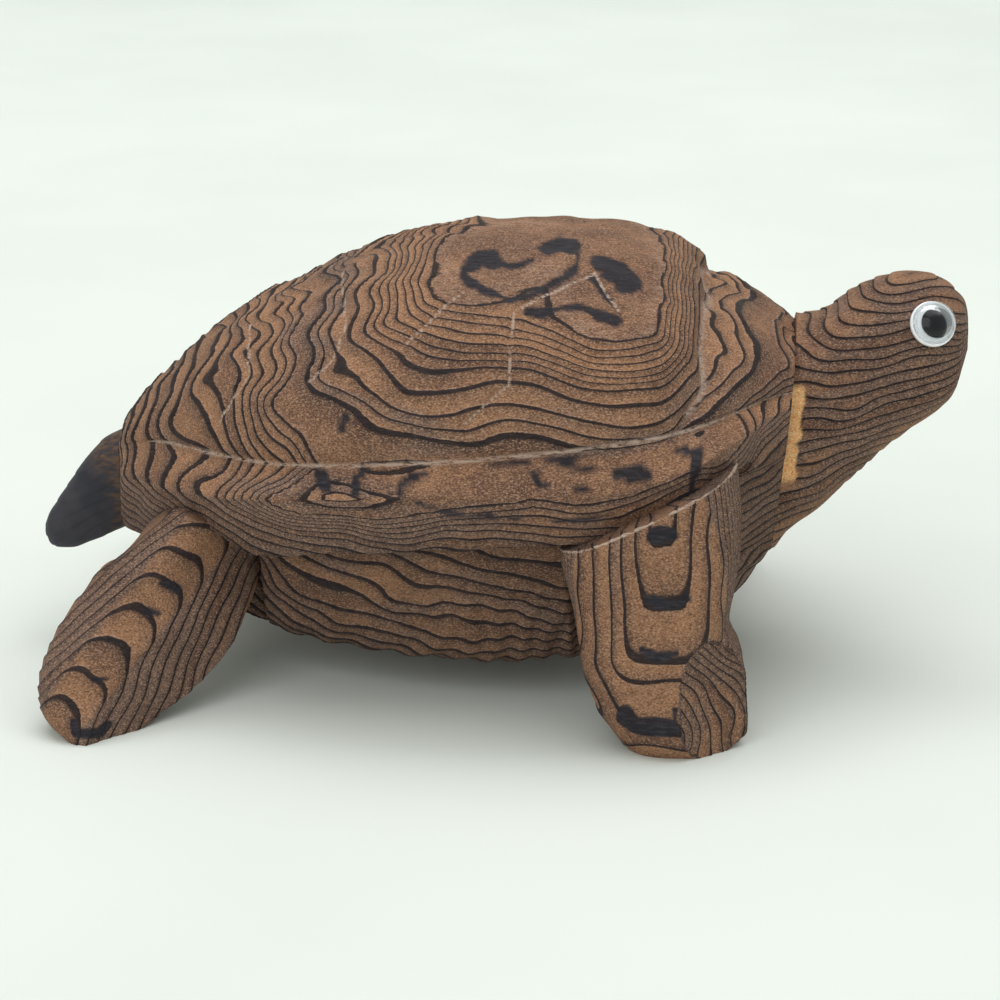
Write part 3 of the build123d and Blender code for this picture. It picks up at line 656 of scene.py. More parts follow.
def worn_wood(colours):
    """Softwood whose soft early growth is worn away between raised dark rings."""
    wood = Finish("worn softwood", Specular_IOR_Level=0.22)
    ring, flat = wood.attribute("ring"), wood.attribute("flat")
    cut, stain, raw = wood.attribute("cut"), wood.attribute("stain"), wood.attribute("raw")
    age = wood.attribute("age")
    grit = wood.noise(wood.places((0.6, 1, 1)), 4800, 3, 0.7)
    fleck = wood.noise(wood.places((0.6, 1, 1)), 1300, 3, 0.7)
    fibre = wood.noise(wood.places((0.2, 1, 1)), 2400, 3, 0.65)
    patch = wood.noise(wood.places(), 75, 3, 0.55)
    shift = ring + (fleck - 0.5) * 0.07 + (patch - 0.5) * 0.2
    f, number = shift.fraction(), shift.whole()
    broad = flat.ramp(0.90, 1.0, 0.0, 0.02) + (patch - 0.5) * 0.05
    line = (f + broad).ramp(0.76, 0.84) * (1 - f.ramp(0.98, 1.0))
    season = wood.node("ShaderNodeTexWhiteNoise", {1: number}, noise_dimensions="1D")
    tan = flat.ramp(0.45, 0.98).mix(colours["cross_cut"], colours["flat_cut"])
    early = (season * 0.6 + patch * 1.3 - 0.7).ramp(0.0, 0.7).mix(tan, colours["weathered"])
    late = flat.ramp(0.35, 0.98).mix(tone(66, 54, 54), tone(84, 64, 56))
    body = (f.ramp(0.30, 0.85) * (0.5 + 0.45 * season)).mix(early, late)
    body = (grit.ramp(0.51, 0.64) * 0.5).mix(body, tone(214, 176, 146))
    body = (grit.ramp(0.49, 0.37) * 0.6).mix(body, tone(50, 35, 29))
    body = (fleck.ramp(0.54, 0.70) * 0.35).mix(body, tone(190, 141, 104))
    body = (fleck.ramp(0.44, 0.30) * 0.45).mix(body, tone(70, 50, 44))
    # painted highlight: a light fibrous edge just past each dark ring, as if the raised ridge caught the
    # light
    painted_ridge_highlight = (1 - f.ramp(0.03, 0.10)) * fibre.ramp(0.40, 0.7)
    body = (painted_ridge_highlight * 0.4).mix(body, tone(186, 156, 138))
    # painted shade: this darkens the wood under the rim, on the belly and on the legs' ledges, and tones
    # head and legs evenly darker
    body = (age * 0.62).mix(body, tone(44, 34, 32))
    inked = line * (0.86 + 0.14 * patch)
    body = inked.mix(body, fibre.ramp(0.35, 0.8).mix(colours["ring"], tone(58, 46, 46)))
    body = (stain * 0.97).mix(body, fibre.ramp(0.35, 0.8).mix(colours["stain"], tone(60, 56, 63)))
    frayed = cut.ramp(0.5, 0.85) * fibre.ramp(0.36, 0.56)
    body = (frayed * 0.85).mix(body, tone(196, 172, 156))
    bare = raw * fleck.ramp(0.25, 0.40, 0.7, 1.0)
    body = bare.mix(body, grit.ramp(0.38, 0.60).mix(colours["raw"], tone(255, 216, 158)))
    wood.feed("Base Color", body)
    wood.feed("Roughness", (inked * 0.5 + stain * 0.4).least(1.0).ramp(0.0, 1.0, 0.85, 0.6))
    height = f.ramp(0.0, 0.9) * (1 - f.ramp(0.95, 1.0)) * 0.5 + fibre * 0.4 + grit * 1.0 + fleck * 0.6
    height = height - stain * 0.3 - cut * 0.5 + raw * fleck * 1.2
    bump = wood.node("ShaderNodeBump", {"Height": height, "Strength": 0.9, "Distance": 0.00018})
    wood.feed("Normal", bump)
    return wood.material


def dark_wood(colours):
    """Near-black wood of the tail, brown where its root and lower edge are worn."""
    wood = Finish("dark tail wood", Specular_IOR_Level=0.35)
    brown = wood.attribute("stain")
    fibre = wood.noise(wood.places((0.25, 1, 1)), 1500, 3, 0.6)
    patch = wood.noise(wood.places(), 160, 3, 0.6)
    body = patch.ramp(0.35, 0.7).mix(colours["tail"], tone(60, 57, 64))
    body = (brown * fibre.ramp(0.3, 0.7)).mix(body, tone(104, 76, 54))
    wood.feed("Base Color", body)
    wood.feed("Roughness", patch.ramp(0.3, 0.7, 0.52, 0.68))
    bump = wood.node("ShaderNodeBump", {"Height": fibre, "Strength": 0.35, "Distance": 0.00012})
    wood.feed("Normal", bump)
    return wood.material


def dowel_wood(colours):
    """Plain pale turned wood."""
    wood = Finish("turned dowel", Specular_IOR_Level=0.3)
    fibre = wood.noise(wood.places((1, 0.15, 1)), 1400, 3, 0.6)
    wood.feed("Base Color", fibre.ramp(0.3, 0.7).mix(colours["dowel"], tone(224, 192, 148)))
    wood.feed("Roughness", fibre.ramp(0.3, 0.7, 0.55, 0.7))
    return wood.material


def white_plastic(colours):
    """White plastic with a faint mottle."""
    plastic = Finish("eye white", Coat_Weight=0.3)
    mottle = plastic.noise(plastic.places(), 900, 2)
    plastic.feed("Base Color", mottle.ramp(0.3, 0.7).mix(colours["white"], tone(253, 253, 253)))
    plastic.feed("Roughness", mottle.ramp(0.3, 0.7, 0.26, 0.34))
    return plastic.material


def black_plastic(colours):
    """Black plastic of the pupils."""
    plastic = Finish("eye black", Specular_IOR_Level=0.15)
    mottle = plastic.noise(plastic.places(), 1200, 2)
    plastic.feed("Base Color", mottle.ramp(0.3, 0.7).mix(colours["black"], tone(13, 13, 16)))
    plastic.feed("Roughness", mottle.ramp(0.3, 0.7, 0.28, 0.31))
    return plastic.material


def clear_plastic(_colours):
    """Clear plastic of the caps: light passes, and its gloss grows towards the rim."""
    plastic = Finish("eye clear")
    gloss = plastic.node("ShaderNodeBsdfGlossy", {"Color": (1.0, 1.0, 1.0), "Roughness": 0.05})
    through = plastic.node("ShaderNodeBsdfTransparent", {"Color": (0.97, 0.98, 0.99)})
    share = plastic.node("ShaderNodeFresnel", {"IOR": 1.45}) * 0.4
    cover = plastic.node("ShaderNodeMixShader", {0: share.least(1.0), 1: through, 2: gloss})
    plastic.links.new(cover.socket, plastic.nodes["Material Output"].inputs["Surface"])
    return plastic.material


def pale_paper(colours):
    """Matt paper with a faint cloudiness."""
    paper = Finish("pale paper", Roughness=0.75, Specular_IOR_Level=0.2)
    cloud = paper.noise(paper.places(), 6, 3, 0.6)
    paper.feed("Base Color", cloud.ramp(0.35, 0.65).mix(colours["paper"], tone(232, 236, 230)))
    return paper.material


RECIPES = {
    "worn softwood": worn_wood,
    "dark tail wood": dark_wood,
    "turned dowel": dowel_wood,
    "eye white": white_plastic,
    "eye black": black_plastic,
    "eye clear": clear_plastic,
    "pale paper": pale_paper,
}


def finish_for(context, name):
    """The material of a name in the scene's colours, made once."""
    if name not in bpy.data.materials:
        group = context.scene.finish_colours
        RECIPES[name]({key: tuple(getattr(group, key)) for key in group.__annotations__})
    return bpy.data.materials[name]


def half_profile(counts):
    """Places along half of the block's section, from 0 at the top to 8 at the keel.

    counts gives the number of columns between each whole number and the next.
    """
    parts = [start + np.arange(count) / count for start, count in enumerate(counts)]
    return np.concatenate([*parts, [len(counts)]])


def block_section(x, turn, sizes):
    """Half width and height of the shell block at a place x and a turn round its section.

    0 to 1 is the dome: y = w sin^(2/n), z = c + (t − c) cos^(2/n) of a quarter turn, n being the
    dome's power. 1 to 4 are the straight bevel, rim and lip. 4 to 8 is the belly, a smooth curve
    through the table's points and two between them.
    """
    place = x / sizes["half_length"]
    tall, wide = sizes["shell_top"], sizes["shell_half_width"]
    top, crease_z, crest_z, edge_z, lip_z, belly_z, keel_z = [
        column(BODY_SHARES, number, place) * tall for number in range(1, 8)
    ]
    crease_w, crest_w, edge_w, lip_w, belly_w = [
        column(BODY_SHARES, number, place) * wide for number in range(8, 13)
    ]
    quarter = np.clip(turn, 0, 1) * np.pi / 2
    y = crease_w * np.sin(quarter) ** (2 / DOME_POWER)
    z = crease_z + (top - crease_z) * np.cos(quarter) ** (2 / DOME_POWER)
    bulge_at, bulge_more, flat_at = BELLY_SHARES
    bulge_w = lip_w + (belly_w - lip_w) * bulge_at + bulge_more * lip_w
    bulge_z = lip_z + (belly_z - lip_z) * bulge_at
    flat_w, flat_z = belly_w * flat_at, (belly_z + keel_z) / 2
    ys = [crease_w, crest_w, edge_w, lip_w, bulge_w, belly_w, flat_w, 0 * top, -flat_w]
    zs = [crease_z, crest_z, edge_z, lip_z, bulge_z, belly_z, flat_z, keel_z, flat_z]
    for start in range(1, 8):
        here = (turn >= start) & (turn <= start + 1)
        t = turn - start
        number = start - 1
        if start < 4:
            new_y = ys[number] + (ys[number + 1] - ys[number]) * t
            new_z = zs[number] + (zs[number + 1] - zs[number]) * t
        else:
            before = number - 1 if start > 4 else number
            new_y = smooth_span(ys[before], ys[number], ys[number + 1], ys[number + 2], t)
            new_z = smooth_span(zs[before], zs[number], zs[number + 1], zs[number + 2], t)
        y, z = np.where(here, new_y, y), np.where(here, new_z, z)
    return y, z


def smooth_span(before, start, end, after, t):
    """Cubic from start to end whose slopes are half the difference of the points on both sides."""
    slope0, slope1 = (end - before) / 2, (after - start) / 2
    cubic = (2 * t**3 - 3 * t**2 + 1) * start + (3 * t**2 - 2 * t**3) * end
    return cubic + (t**3 - 2 * t**2 + t) * slope0 + (t**3 - t**2) * slope1


def stance_width(sizes):
    """Half width over the feet."""
    return sizes["shell_half_width"] + sizes["stance_reach"]


def neck_joint_x(z, sizes):
    """Where the neck's glued plane lies at a height."""
    place, level = NECK_JOINT_SHARES
    return place * sizes["half_length"] + (z - level * sizes["shell_top"]) * math.tan(sizes["neck_lean"])


def pocket_depth(x, z, leg, sizes):
    """How far a place lies inside a leg's pocket, seen from the side.

    It is the least of its depth below the ceiling line and its distances from the pocket's two ends.
    """
    ends = leg["pocket"] * np.array([sizes["half_length"], leg["top"] * sizes["shell_top"]])
    ceiling = np.interp(x, ends[:, 0], ends[:, 1])
    return np.minimum(ceiling - z, np.minimum(x - ends[0, 0], ends[-1, 0] - x))


def shell_rings(points, turn, sway):
    """Ring phase on the shell block, and the distance from the tree's heart that it follows.

    r = sqrt(y² + (z − h)²), with the heart at h = 1, up to 5 higher towards the tail and up to 1.4
    lower towards the head. The crest adds 0.6 to 2.4, and behind x = −6 the lower dome and the rim add
    up to 4. Ahead of x = 4 the rim loses up to 2.6. Three sets of waves make it waver, and inside
    r = 53 the rings are up to 22 % wider on the rear upper half.
    """
    x = points[..., 0]
    behind = ramp(-x, 5, 48)
    heart = 1 + 5 * behind - 1.4 * ramp(x, 8, 30)
    distance = np.hypot(points[..., 1], points[..., 2] - heart)
    distance = distance + (0.6 + 1.8 * ramp(-x, -10, 25)) * np.exp(-(((turn - 2.0) / 0.5) ** 2))
    distance = distance + 4.0 * ramp(turn, 0.5, 1.0) * ramp(-x, 6, 26) * (1 - ramp(turn, 2.0, 3.0))
    on_rim = ramp(turn, 0.97, 1.1) * (1 - ramp(turn, 2.2, 3.0))
    distance = distance - on_rim * (1.2 * ramp(x, 4, 12) + 1.4 * ramp(x, 14, 28)) * (1 - ramp(x, 32, 37))
    even = 1 - 0.7 * ramp(distance, 59, 64.5)
    even = even * (1 - 0.7 * np.exp(-(((turn - 1.6) / 0.7) ** 2)) * ramp(x, -22, -10))
    distance = distance + 1.5 * sway * even * waves(points, 3, 16, 11, 27, (1.5, 1, 1))
    lively = even * (0.45 + 0.55 * ramp(-x, 0, 15))
    distance = distance + 0.9 * sway * lively * waves(points, 5, 14, 6, 11, (1.5, 1, 1))
    distance = distance + 0.14 * sway * even * waves(points, 6, 12, 3, 5, (1.5, 1, 1))
    upper = 1 - ramp(turn, 2.6, 3.6)
    spread = 1 - 0.22 * ramp(-x, 5, 30) * upper
    distance = np.where(distance < 53, 53 + (distance - 53) * spread, distance)
    return np.interp(distance, RING_PLACES, np.arange(len(RING_PLACES))), distance


def shell_block(context):
    """The shell block's surface with its rings, knife lines, valley and leg pockets."""
    sizes, grain = settings(context, "carving"), settings(context, "grain")
    half = half_profile([100, 7, 12, 5, 12, 16, 14, 14])
    turn = np.concatenate([half, half[-2:0:-1]])
    side = np.concatenate([-np.ones(len(half)), np.ones(len(half) - 2)])
    share = np.linspace(0, 1, 228)
    share = share - 0.4 * np.sin(2 * np.pi * share) / (2 * np.pi)
    rear = TAIL_SHARES[-1, 0] * sizes["half_length"]
    level = neck_joint_x(0, sizes)
    x = (rear + (level - rear) * share)[:, None] + 0 * turn[None]
    turn = turn[None] + 0 * x
    lean = ramp(share, 0.72, 1.0)[:, None] * math.tan(sizes["neck_lean"])
    middle, shift = x.copy(), 0
    for _ in range(4):
        y, z = block_section(middle + shift, turn, sizes)
        shift = z * lean
    points = np.stack([middle + shift, y * side, z], axis=-1)

    rings, distance = shell_rings(points, turn, grain["ring_sway"])
    height = grain["ring_relief"] * (1 + 0.9 * ramp(-x, 5, 25))
    lift, flat = grain_relief(points, rings, distance, height)
    places = drawn(points)
    cuts = np.zeros(points.shape[:-1])
    for corners in SCUTE_LINES:
        cuts = np.maximum(cuts, np.exp(-((line_distance(places, corners) / KNIFE_WIDTH) ** 2)))
    on_dome = 1 - ramp(turn, 0.93, 1.0)
    groove = np.exp(-(((turn - 1) / np.where(turn < 1, 0.014, 0.12)) ** 2)) * ramp(x, -57, -50)
    valley_x = VALLEY_SHARE * sizes["half_length"] - 2.0 * ramp(turn, 0.7, 1.0)
    aside = np.abs(points[..., 0] - valley_x + 0.4 * waves(points, 8, 6, 8, 20))
    valley = np.clip(1 - aside / 2.4, 0, 1) ** 1.2 * on_dome
    bumps = np.sin(np.pi * points[..., 0] / 6.4 + 1.5 * waves(points, 9, 4, 20, 40)) ** 2
    scallop = bumps * ramp(turn, 4.6, 5.2) * (1 - ramp(turn, 6.0, 6.8)) * ramp(x, -30, -18)
    lift = lift - grain["knife_depth"] * cuts - grain["valley_depth"] * valley
    lift = lift - CREASE_DEPTH * groove - SCALLOP_DEPTH * scallop
    lift = (lift + 0.15 * waves(points, 11, 16, 5, 14)) * (1 - ramp(share, 0.985, 1.0))[:, None]
    points = points + outward(points) * lift[..., None]

    stance = stance_width(sizes)
    for leg in LEG_SHARES.values():
        inside = pocket_depth(points[..., 0], points[..., 2], leg, sizes)
        limit = leg["seat"] * sizes["shell_half_width"] - POCKET_INSET
        pull = ramp(inside, 0.3, 1.1)
        width = np.abs(points[..., 1])
        clamped = np.minimum(width, limit + (stance - limit) * (1 - pull))
        points[..., 1] = np.sign(points[..., 1]) * np.where(inside > 0, clamped, width)

    joint_middle = np.array([neck_joint_x(44, sizes), 0, 44])
    front = closing_rows(points[-1], np.linspace(0.9, 0.1, 9), joint_middle)
    back = closing_rows(points[0], np.linspace(0.1, 0.9, 6))
    points = np.concatenate([back, points, front])
    turn = widened(turn, 6, 9)
    frayed = np.maximum(cuts * on_dome, np.maximum(0.85 * groove, 0.8 * valley))
    fields = {
        "ring": widened(rings, 6, 9),
        "flat": widened(flat, 6, 9),
        # painted shade: from the rim's crest down to its edge and below it, the wood is darkened where
        # shade falls under the rim, a little less on the belly
        "age": 0.5 * ramp(turn, 2.0, 3.0) - 0.15 * ramp(turn, 3.4, 5.0),
        "cut": np.pad(frayed, [(6, 9), (0, 0)]),
        "stain": stains(points, ISLAND_STAINS, 21) * (points[..., 1] < 4)
        + stains(points, RIM_STAINS, 22) * (turn > 1.0) * (turn < 3.2),
        "raw": np.zeros(points.shape[:-1]),
    }
    return points, fields


def eye_seat(side):
    """Seat of the right (−1) or left (1) eye: its middle, its axis and its forward direction."""
    flat = math.cos(EYE_TILT)
    axis = np.array([math.sin(EYE_TURN) * flat, side * math.cos(EYE_TURN) * flat, math.sin(EYE_TILT)])
    ahead = np.array([math.cos(EYE_TURN), -side * math.sin(EYE_TURN), 0])
    return np.array(EYE_MIDDLE) * np.array([1, side, 1]), axis, ahead


def over_seat(points, side):
    """Height of places over an eye's seat, and their distance from its axis."""
    middle, axis, _ = eye_seat(side)
    offset = points - middle
    height = offset @ axis
    return height, np.linalg.norm(offset - height[..., None] * axis, axis=-1)


def oval_ring(count, power):
    """Points round an oval |a|^n + |b|^n = 1, at even angles."""
    angle = np.arange(count) * 2 * np.pi / count
    a, b = np.cos(angle), np.sin(angle)
    reach = (np.abs(a) ** power + np.abs(b) ** power) ** (-1 / power)
    return a * reach, b * reach


def head_section(x, sizes):
    """Low and high of the head at a place, and its half width there."""
    place = x / sizes["half_length"]
    low, high = [column(HEAD_SHARES, number, place) * sizes["head_top"] for number in (1, 2)]
    return low, high, column(HEAD_SHARES, 3, place) * sizes["neck_half_width"]


def head_rings(points, sizes, sway):
    """Ring phase on the head: level lines that rise to the crown and bend round the eyes.

    d = 0.55 (z − 34) + 13.5 (h − 0.35) − 5.5 g h² + 2 c − 1.5 e and waves, with h the height as a
    share between the head's low and high lines. g, c and e are bells exp(−r²) at the neck's root, the
    crown and each eye. A ring lies every 1.5.
    """
    x, y, z = points[..., 0], points[..., 1], points[..., 2]
    low, high, _ = head_section(x, sizes)
    share = (z - low) / np.maximum(high - low, 1)
    root = np.exp(-(((x - 44) / 11) ** 2))
    crown = np.exp(-(((x - 63.5) / 5) ** 2) - (y / 6) ** 2)
    eye = np.exp(-((np.hypot(x - 66.8, z - 56.5) / 4.6) ** 2))
    level = 0.55 * (z - 34) + 0.45 * 30 * (share - 0.35)
    distance = level - 5.5 * root * share**2 + 2.0 * crown - 1.5 * eye
    distance = distance + sway * 0.8 * waves(points, 31, 14, 8, 22, (1.6, 1, 1))
    distance = distance + 0.3 * sway * waves(points, 32, 12, 3, 7, (1.6, 1, 1))
    return distance / 1.5 + 40, distance


def head_block(context):
    """The head and neck with rings, the flat seats of the eyes and the mouth's notch."""
    sizes, grain = settings(context, "carving"), settings(context, "grain")
    across, up = oval_ring(320, 2.3)
    share = 1 - (1 - np.linspace(0, 1, 165)) ** 1.35
    tip = HEAD_SHARES[-1, 0] * sizes["half_length"]
    root = neck_joint_x(0, sizes)
    x = (root + (tip - root) * share)[:, None] + 0 * across[None]
    lean = (1 - ramp(share, 0.0, 0.45))[:, None] * math.tan(sizes["neck_lean"])
    shift = 0
    for _ in range(4):
        low, high, wide = head_section(x + shift, sizes)
        z = (low + high) / 2 + (high - low) / 2 * up
        shift = z * lean
    points = np.stack([x + shift, wide * across, z], axis=-1)[:, ::-1]
    rings, distance = head_rings(points, sizes, grain["ring_sway"])
    near = np.zeros(points.shape[:-1])
    for side in (-1, 1):
        height, radial = over_seat(points, side)
        near = np.maximum(near, (1 - ramp(radial, 3.6, 4.6)) * (height > -3))
    lift, flat = grain_relief(points, rings, distance, grain["ring_relief"], near)
    mouth = np.exp(-((line_distance(drawn(points), MOUTH_LINE) / MOUTH_WIDTH) ** 2))
    mouth = mouth * ramp(points[..., 0], 68.5, 70.5) * (1 - ramp(points[..., 0], 70.9, 71.9))
    lift = lift * (1 - 0.9 * ramp(points[..., 0], 70.8, 72.0)) - MOUTH_DEPTH * mouth
    lift = (lift + 0.10 * waves(points, 33, 14, 5, 12) * (1 - near)) * ramp(share, 0.0, 0.015)[:, None]
    points = points + outward(points) * lift[..., None]
    for side in (-1, 1):
        height, radial = over_seat(points, side)
        sink = np.where((radial < EYE_FLAT_RADIUS) & (height > 0), height, 0)
        points = points - sink[..., None] * eye_seat(side)[1]
    back = closing_rows(points[0], np.linspace(0.15, 0.9, 5))
    nose = closing_rows(points[-1], (0.92, 0.8, 0.6, 0.35, 0.12), push=0.1)
    points = np.concatenate([back, points, nose])
    height = points[..., 2]
    past = points[..., 0] - neck_joint_x(height, sizes) + 0.25 * waves(points, 35, 12, 1.5, 5)
    raw = (1 - ramp(past, 1.7, 2.3)) * ramp(height, 31.5, 33) * (1 - ramp(height, 46.2, 47.4))
    fields = {
        "ring": head_rings(points, sizes, grain["ring_sway"])[0],
        "flat": widened(flat, 5, 5),
        "age": np.full(points.shape[:-1], 0.2) * (1 - raw),
        "cut": np.pad(mouth * 0.3, [(5, 5), (0, 0)]),
        "stain": np.zeros(points.shape[:-1]),
        "raw": raw * (np.abs(points[..., 1]) > 6),
    }
    return points, fields


def leg_levels(reach):
    """Levels of a leg's rows from 0 at the sole to its reach, closer together at both ends."""
    share = np.linspace(0, 1, 150)
    return reach * (share - 0.25 * np.sin(2 * np.pi * share) / (2 * np.pi))


def leg_grid(leg, levels, sections, sizes):
    """A leg as level ovals from the sole up, clipped to its pocket's ceiling and to its front facet.

    sections gives each level's outer and inner ends (x, y) and half thickness. A place above the
    ceiling drops to it; a place beyond the facet's plane moves back along the plane's normal. With
    the points come how far each one moved back, and the marks of the ledge under the ceiling: a light
    fibre line along the ceiling, painted shade on the ledge and an even darker tone over the leg.
    """
    length, stance = sizes["half_length"], stance_width(sizes)
    top = leg["top"] * sizes["shell_top"]
    across, along = oval_ring(260, 2.7)
    x_out, y_out, x_in, y_in, thick = [np.asarray(v)[:, None] for v in sections]
    way = np.stack([x_in - x_out, y_in - y_out], axis=-1) / 2
    size = np.linalg.norm(way, axis=-1, keepdims=True)
    aside = np.stack([-way[..., 1], way[..., 0]], axis=-1) / size
    middle = np.stack([x_in + x_out, y_in + y_out], axis=-1) / 2
    flat = middle + way * across[None, :, None] + aside * thick[..., None] * along[None, :, None]
    z = levels[:, None] * top + 0 * across[None]
    points = np.concatenate([flat, z[..., None]], axis=-1)
    ends = leg["pocket"] * np.array([length, top])
    above = points[..., 2] - np.interp(points[..., 0], ends[:, 0], ends[:, 1]) - LEDGE_HEIGHT
    points[..., 2] = points[..., 2] - np.maximum(above, 0)
    ledge = ramp(above, 0, 0.6)
    edge = np.array(leg["crease"]) * np.array([length, stance, top])
    normal = np.array(leg["facet"]) / np.linalg.norm(leg["facet"])
    beyond = np.maximum((points - edge) @ normal, 0)
    points = points - beyond[..., None] * normal
    points[..., 2] = np.maximum(points[..., 2], 0)
    points[..., 1] = np.minimum(points[..., 1], inner_face(leg, sizes))
    # painted shade: the ledge under the pocket's ceiling is darkened as if in shade, over an even darker
    # tone of 0.15
    marks = {"cut": np.exp(-((np.minimum(above, 0) / 0.5) ** 2)) * (1 - ledge), "age": 0.15 + 0.5 * ledge}
    return points, beyond, marks


def inner_face(leg, sizes):
    """Where a right leg's inner face lies across the body."""
    return LEG_INSET - leg["seat"] * sizes["shell_half_width"]


def leg_surface(points, rings, distance, height, limit, bands, seed, marks):
    """A leg's relief, its closing rows under the sole and over the top, and its fields.

    Nothing passes the limit of its inner face, or the floor.
    """
    lift, flat = grain_relief(points, rings, distance, height)
    normal = outward(points)
    sole = ramp(-normal[..., 2], 0.55, 0.85) * (points[..., 2] < 1.5)
    lift = (lift + 0.12 * waves(points, seed, 14, 5, 13)) * (1 - sole)
    points = points + normal * lift[..., None]
    points[..., 1] = np.minimum(points[..., 1], limit)
    points[..., 2] = np.maximum(points[..., 2], 0)
    under = closing_rows(points[0], (0.2, 0.45, 0.7, 0.88, 0.96))
    over = closing_rows(points[-1], (0.9, 0.6, 0.3))
    points = np.concatenate([under, points, over])
    fields = {
        "ring": widened(rings, 5, 3),
        "flat": widened(flat, 5, 3),
        "age": widened(marks["age"], 5, 3),
        "cut": widened(marks["cut"], 5, 3),
        "stain": stains(points, bands, seed + 1),
        "raw": np.zeros(points.shape[:-1]),
    }
    return points, fields


def front_leg(context):
    """The right front leg, whose rings stand as nested U shapes on its outer face.

    The ring's number is (s⁵ + f⁵)^(1/5): s read off the sides' table, f off the table down the leg.
    """
    sizes, grain, leg = settings(context, "carving"), settings(context, "grain"), LEG_SHARES["front"]
    length, stance = sizes["half_length"], stance_width(sizes)
    levels = leg_levels(1.03)
    back, front, inner, outer = [column(FRONT_LEG_SHARES, n, levels) for n in range(1, 5)]
    middle_y, half_y = -(inner + outer) / 2 * stance, (outer - inner) / 2 * stance
    sections = (back * length, middle_y, front * length, middle_y, half_y)
    points, beyond, marks = leg_grid(leg, levels, sections, sizes)
    x, y = points[..., 0], points[..., 1]
    level = drawn(points)[..., 1]
    shifted = x - 2.0 * ramp(-level, 0, 9) * ramp(28 - x, 0, 6) + 0.3 * waves(points, 41, 12, 6, 14)
    sides = np.interp(shifted, LEG_SIDE_RINGS[:, 0], LEG_SIDE_RINGS[:, 1])
    sides = sides + np.maximum(42 + y, 0) / 1.3
    down = level + 0.3 * waves(points, 43, 12, 6, 14)
    foot = np.interp(down, LEG_FOOT_RINGS[:, 0], LEG_FOOT_RINGS[:, 1])
    rings = 20 + (sides**5 + foot**5) ** 0.2
    up = level + 4
    knob = 0.8 * (x - 36) + 0.6 * up + 0.035 * up**2 + 0.4 * waves(points, 44, 12, 4, 9)
    rings = np.where(beyond > 0.2, 26 + knob / 1.3, rings)
    return leg_surface(
        points, rings, rings * 1.2, grain["ring_relief"], inner_face(leg, sizes), FRONT_LEG_STAINS, 42,
        marks,
    )


def rear_leg(context):
    """The right rear leg, whose rings stand as nested arches that point up and forward.

    With a along the leg and s = |b| / 3.8 across it, d = a + 2.6 s³, and a + 2.6 + 15 (s − 1) past
    s = 1. A ring lies every 5.4.
    """
    sizes, grain, leg = settings(context, "carving"), settings(context, "grain"), LEG_SHARES["rear"]
    length, stance = sizes["half_length"], stance_width(sizes)
    levels = leg_levels(1.01)
    x_out, y_out, x_in, y_in, thick = [column(REAR_LEG_SHARES, n, levels) for n in range(1, 6)]
    sections = (x_out * length, -y_out * stance, x_in * length, -y_in * stance, thick * stance)
    points, _, marks = leg_grid(leg, levels, sections, sizes)
    places = drawn(points) - np.array([-51.8, 0])
    along = places @ np.array([0.56, 0.83])
    aside = np.abs(places @ np.array([0.83, -0.56])) / 3.8
    distance = along + np.where(aside < 1, 2.6 * aside**3, 2.6 + 15 * (aside - 1))
    distance = distance + 1.4 * grain["ring_sway"] * waves(points, 51, 14, 7, 18)
    marks["cut"] = np.zeros_like(marks["cut"])
    return leg_surface(
        points, distance / 5.4 + 20, distance * 0.35, grain["ring_relief"], inner_face(leg, sizes),
        REAR_LEG_STAINS, 52, marks,
    )


def tail_leaf(context):
    """The tail's leaf of dark wood, with faint grain that slants up to the front."""
    sizes = settings(context, "carving")
    across, up = oval_ring(180, 2.2)
    share = np.linspace(0, 1, 120) ** 1.3
    x = (TAIL_SHARES[0, 0] + (TAIL_SHARES[-1, 0] - TAIL_SHARES[0, 0]) * share)[:, None]
    low, high = [column(TAIL_SHARES, n, x) * (TAIL_TOP_SHARE * sizes["shell_top"]) for n in (1, 2)]
    thick = column(TAIL_SHARES, 3, x) * sizes["tail_half_thickness"]
    z = (low + high) / 2 + (high - low) / 2 * up
    points = np.stack([x * sizes["half_length"] + 0 * z, thick * across + 0 * z, z], axis=-1)[:, ::-1]
    rings = (points[..., 2] - 0.55 * points[..., 0]) / 2.2 + 0.25 * waves(points, 61, 10, 8, 18)
    lift, _ = grain_relief(points, rings, rings * 2.2, TAIL_RELIEF)
    points = points + outward(points) * lift[..., None]
    tip = closing_rows(points[0], (0.15, 0.4, 0.65, 0.85, 0.95), push=-0.3)
    root = closing_rows(points[-1], (0.9, 0.5, 0.1))
    points = np.concatenate([tip, points, root])
    x, z = points[..., 0], points[..., 2]
    brown = ramp(x + 0.5 * waves(points, 62, 8, 3, 8), -61.4, -59.9) * 0.8
    upper = np.exp(-(((x + 62.2) / 2.2) ** 2) - ((z - 30.5) / 3.0) ** 2)
    return points, {"stain": np.clip(brown + upper, 0, 1)}


def turned(profile, count, origin, axis, ahead):
    """A lathe form: each (radius, height) of a profile turned round an axis."""
    angle = np.arange(count) * 2 * np.pi / count
    beside = np.cross(axis, ahead)
    spoke = np.cos(angle)[:, None] * ahead + np.sin(angle)[:, None] * beside
    radius, height = np.array(profile)[:, 0], np.array(profile)[:, 1]
    return origin + radius[:, None, None] * spoke[None] + height[:, None, None] * axis


def round_dome(radius, side, top, count):
    """Profile of a round dome from its side to the axis: a circle through (radius, side) and (0, top)."""
    rise = top - side
    ball = (radius**2 + rise**2) / (2 * rise)
    angle = np.linspace(math.asin(radius / ball), 0, count)
    return [(ball * math.sin(a), top - ball + ball * math.cos(a)) for a in angle]


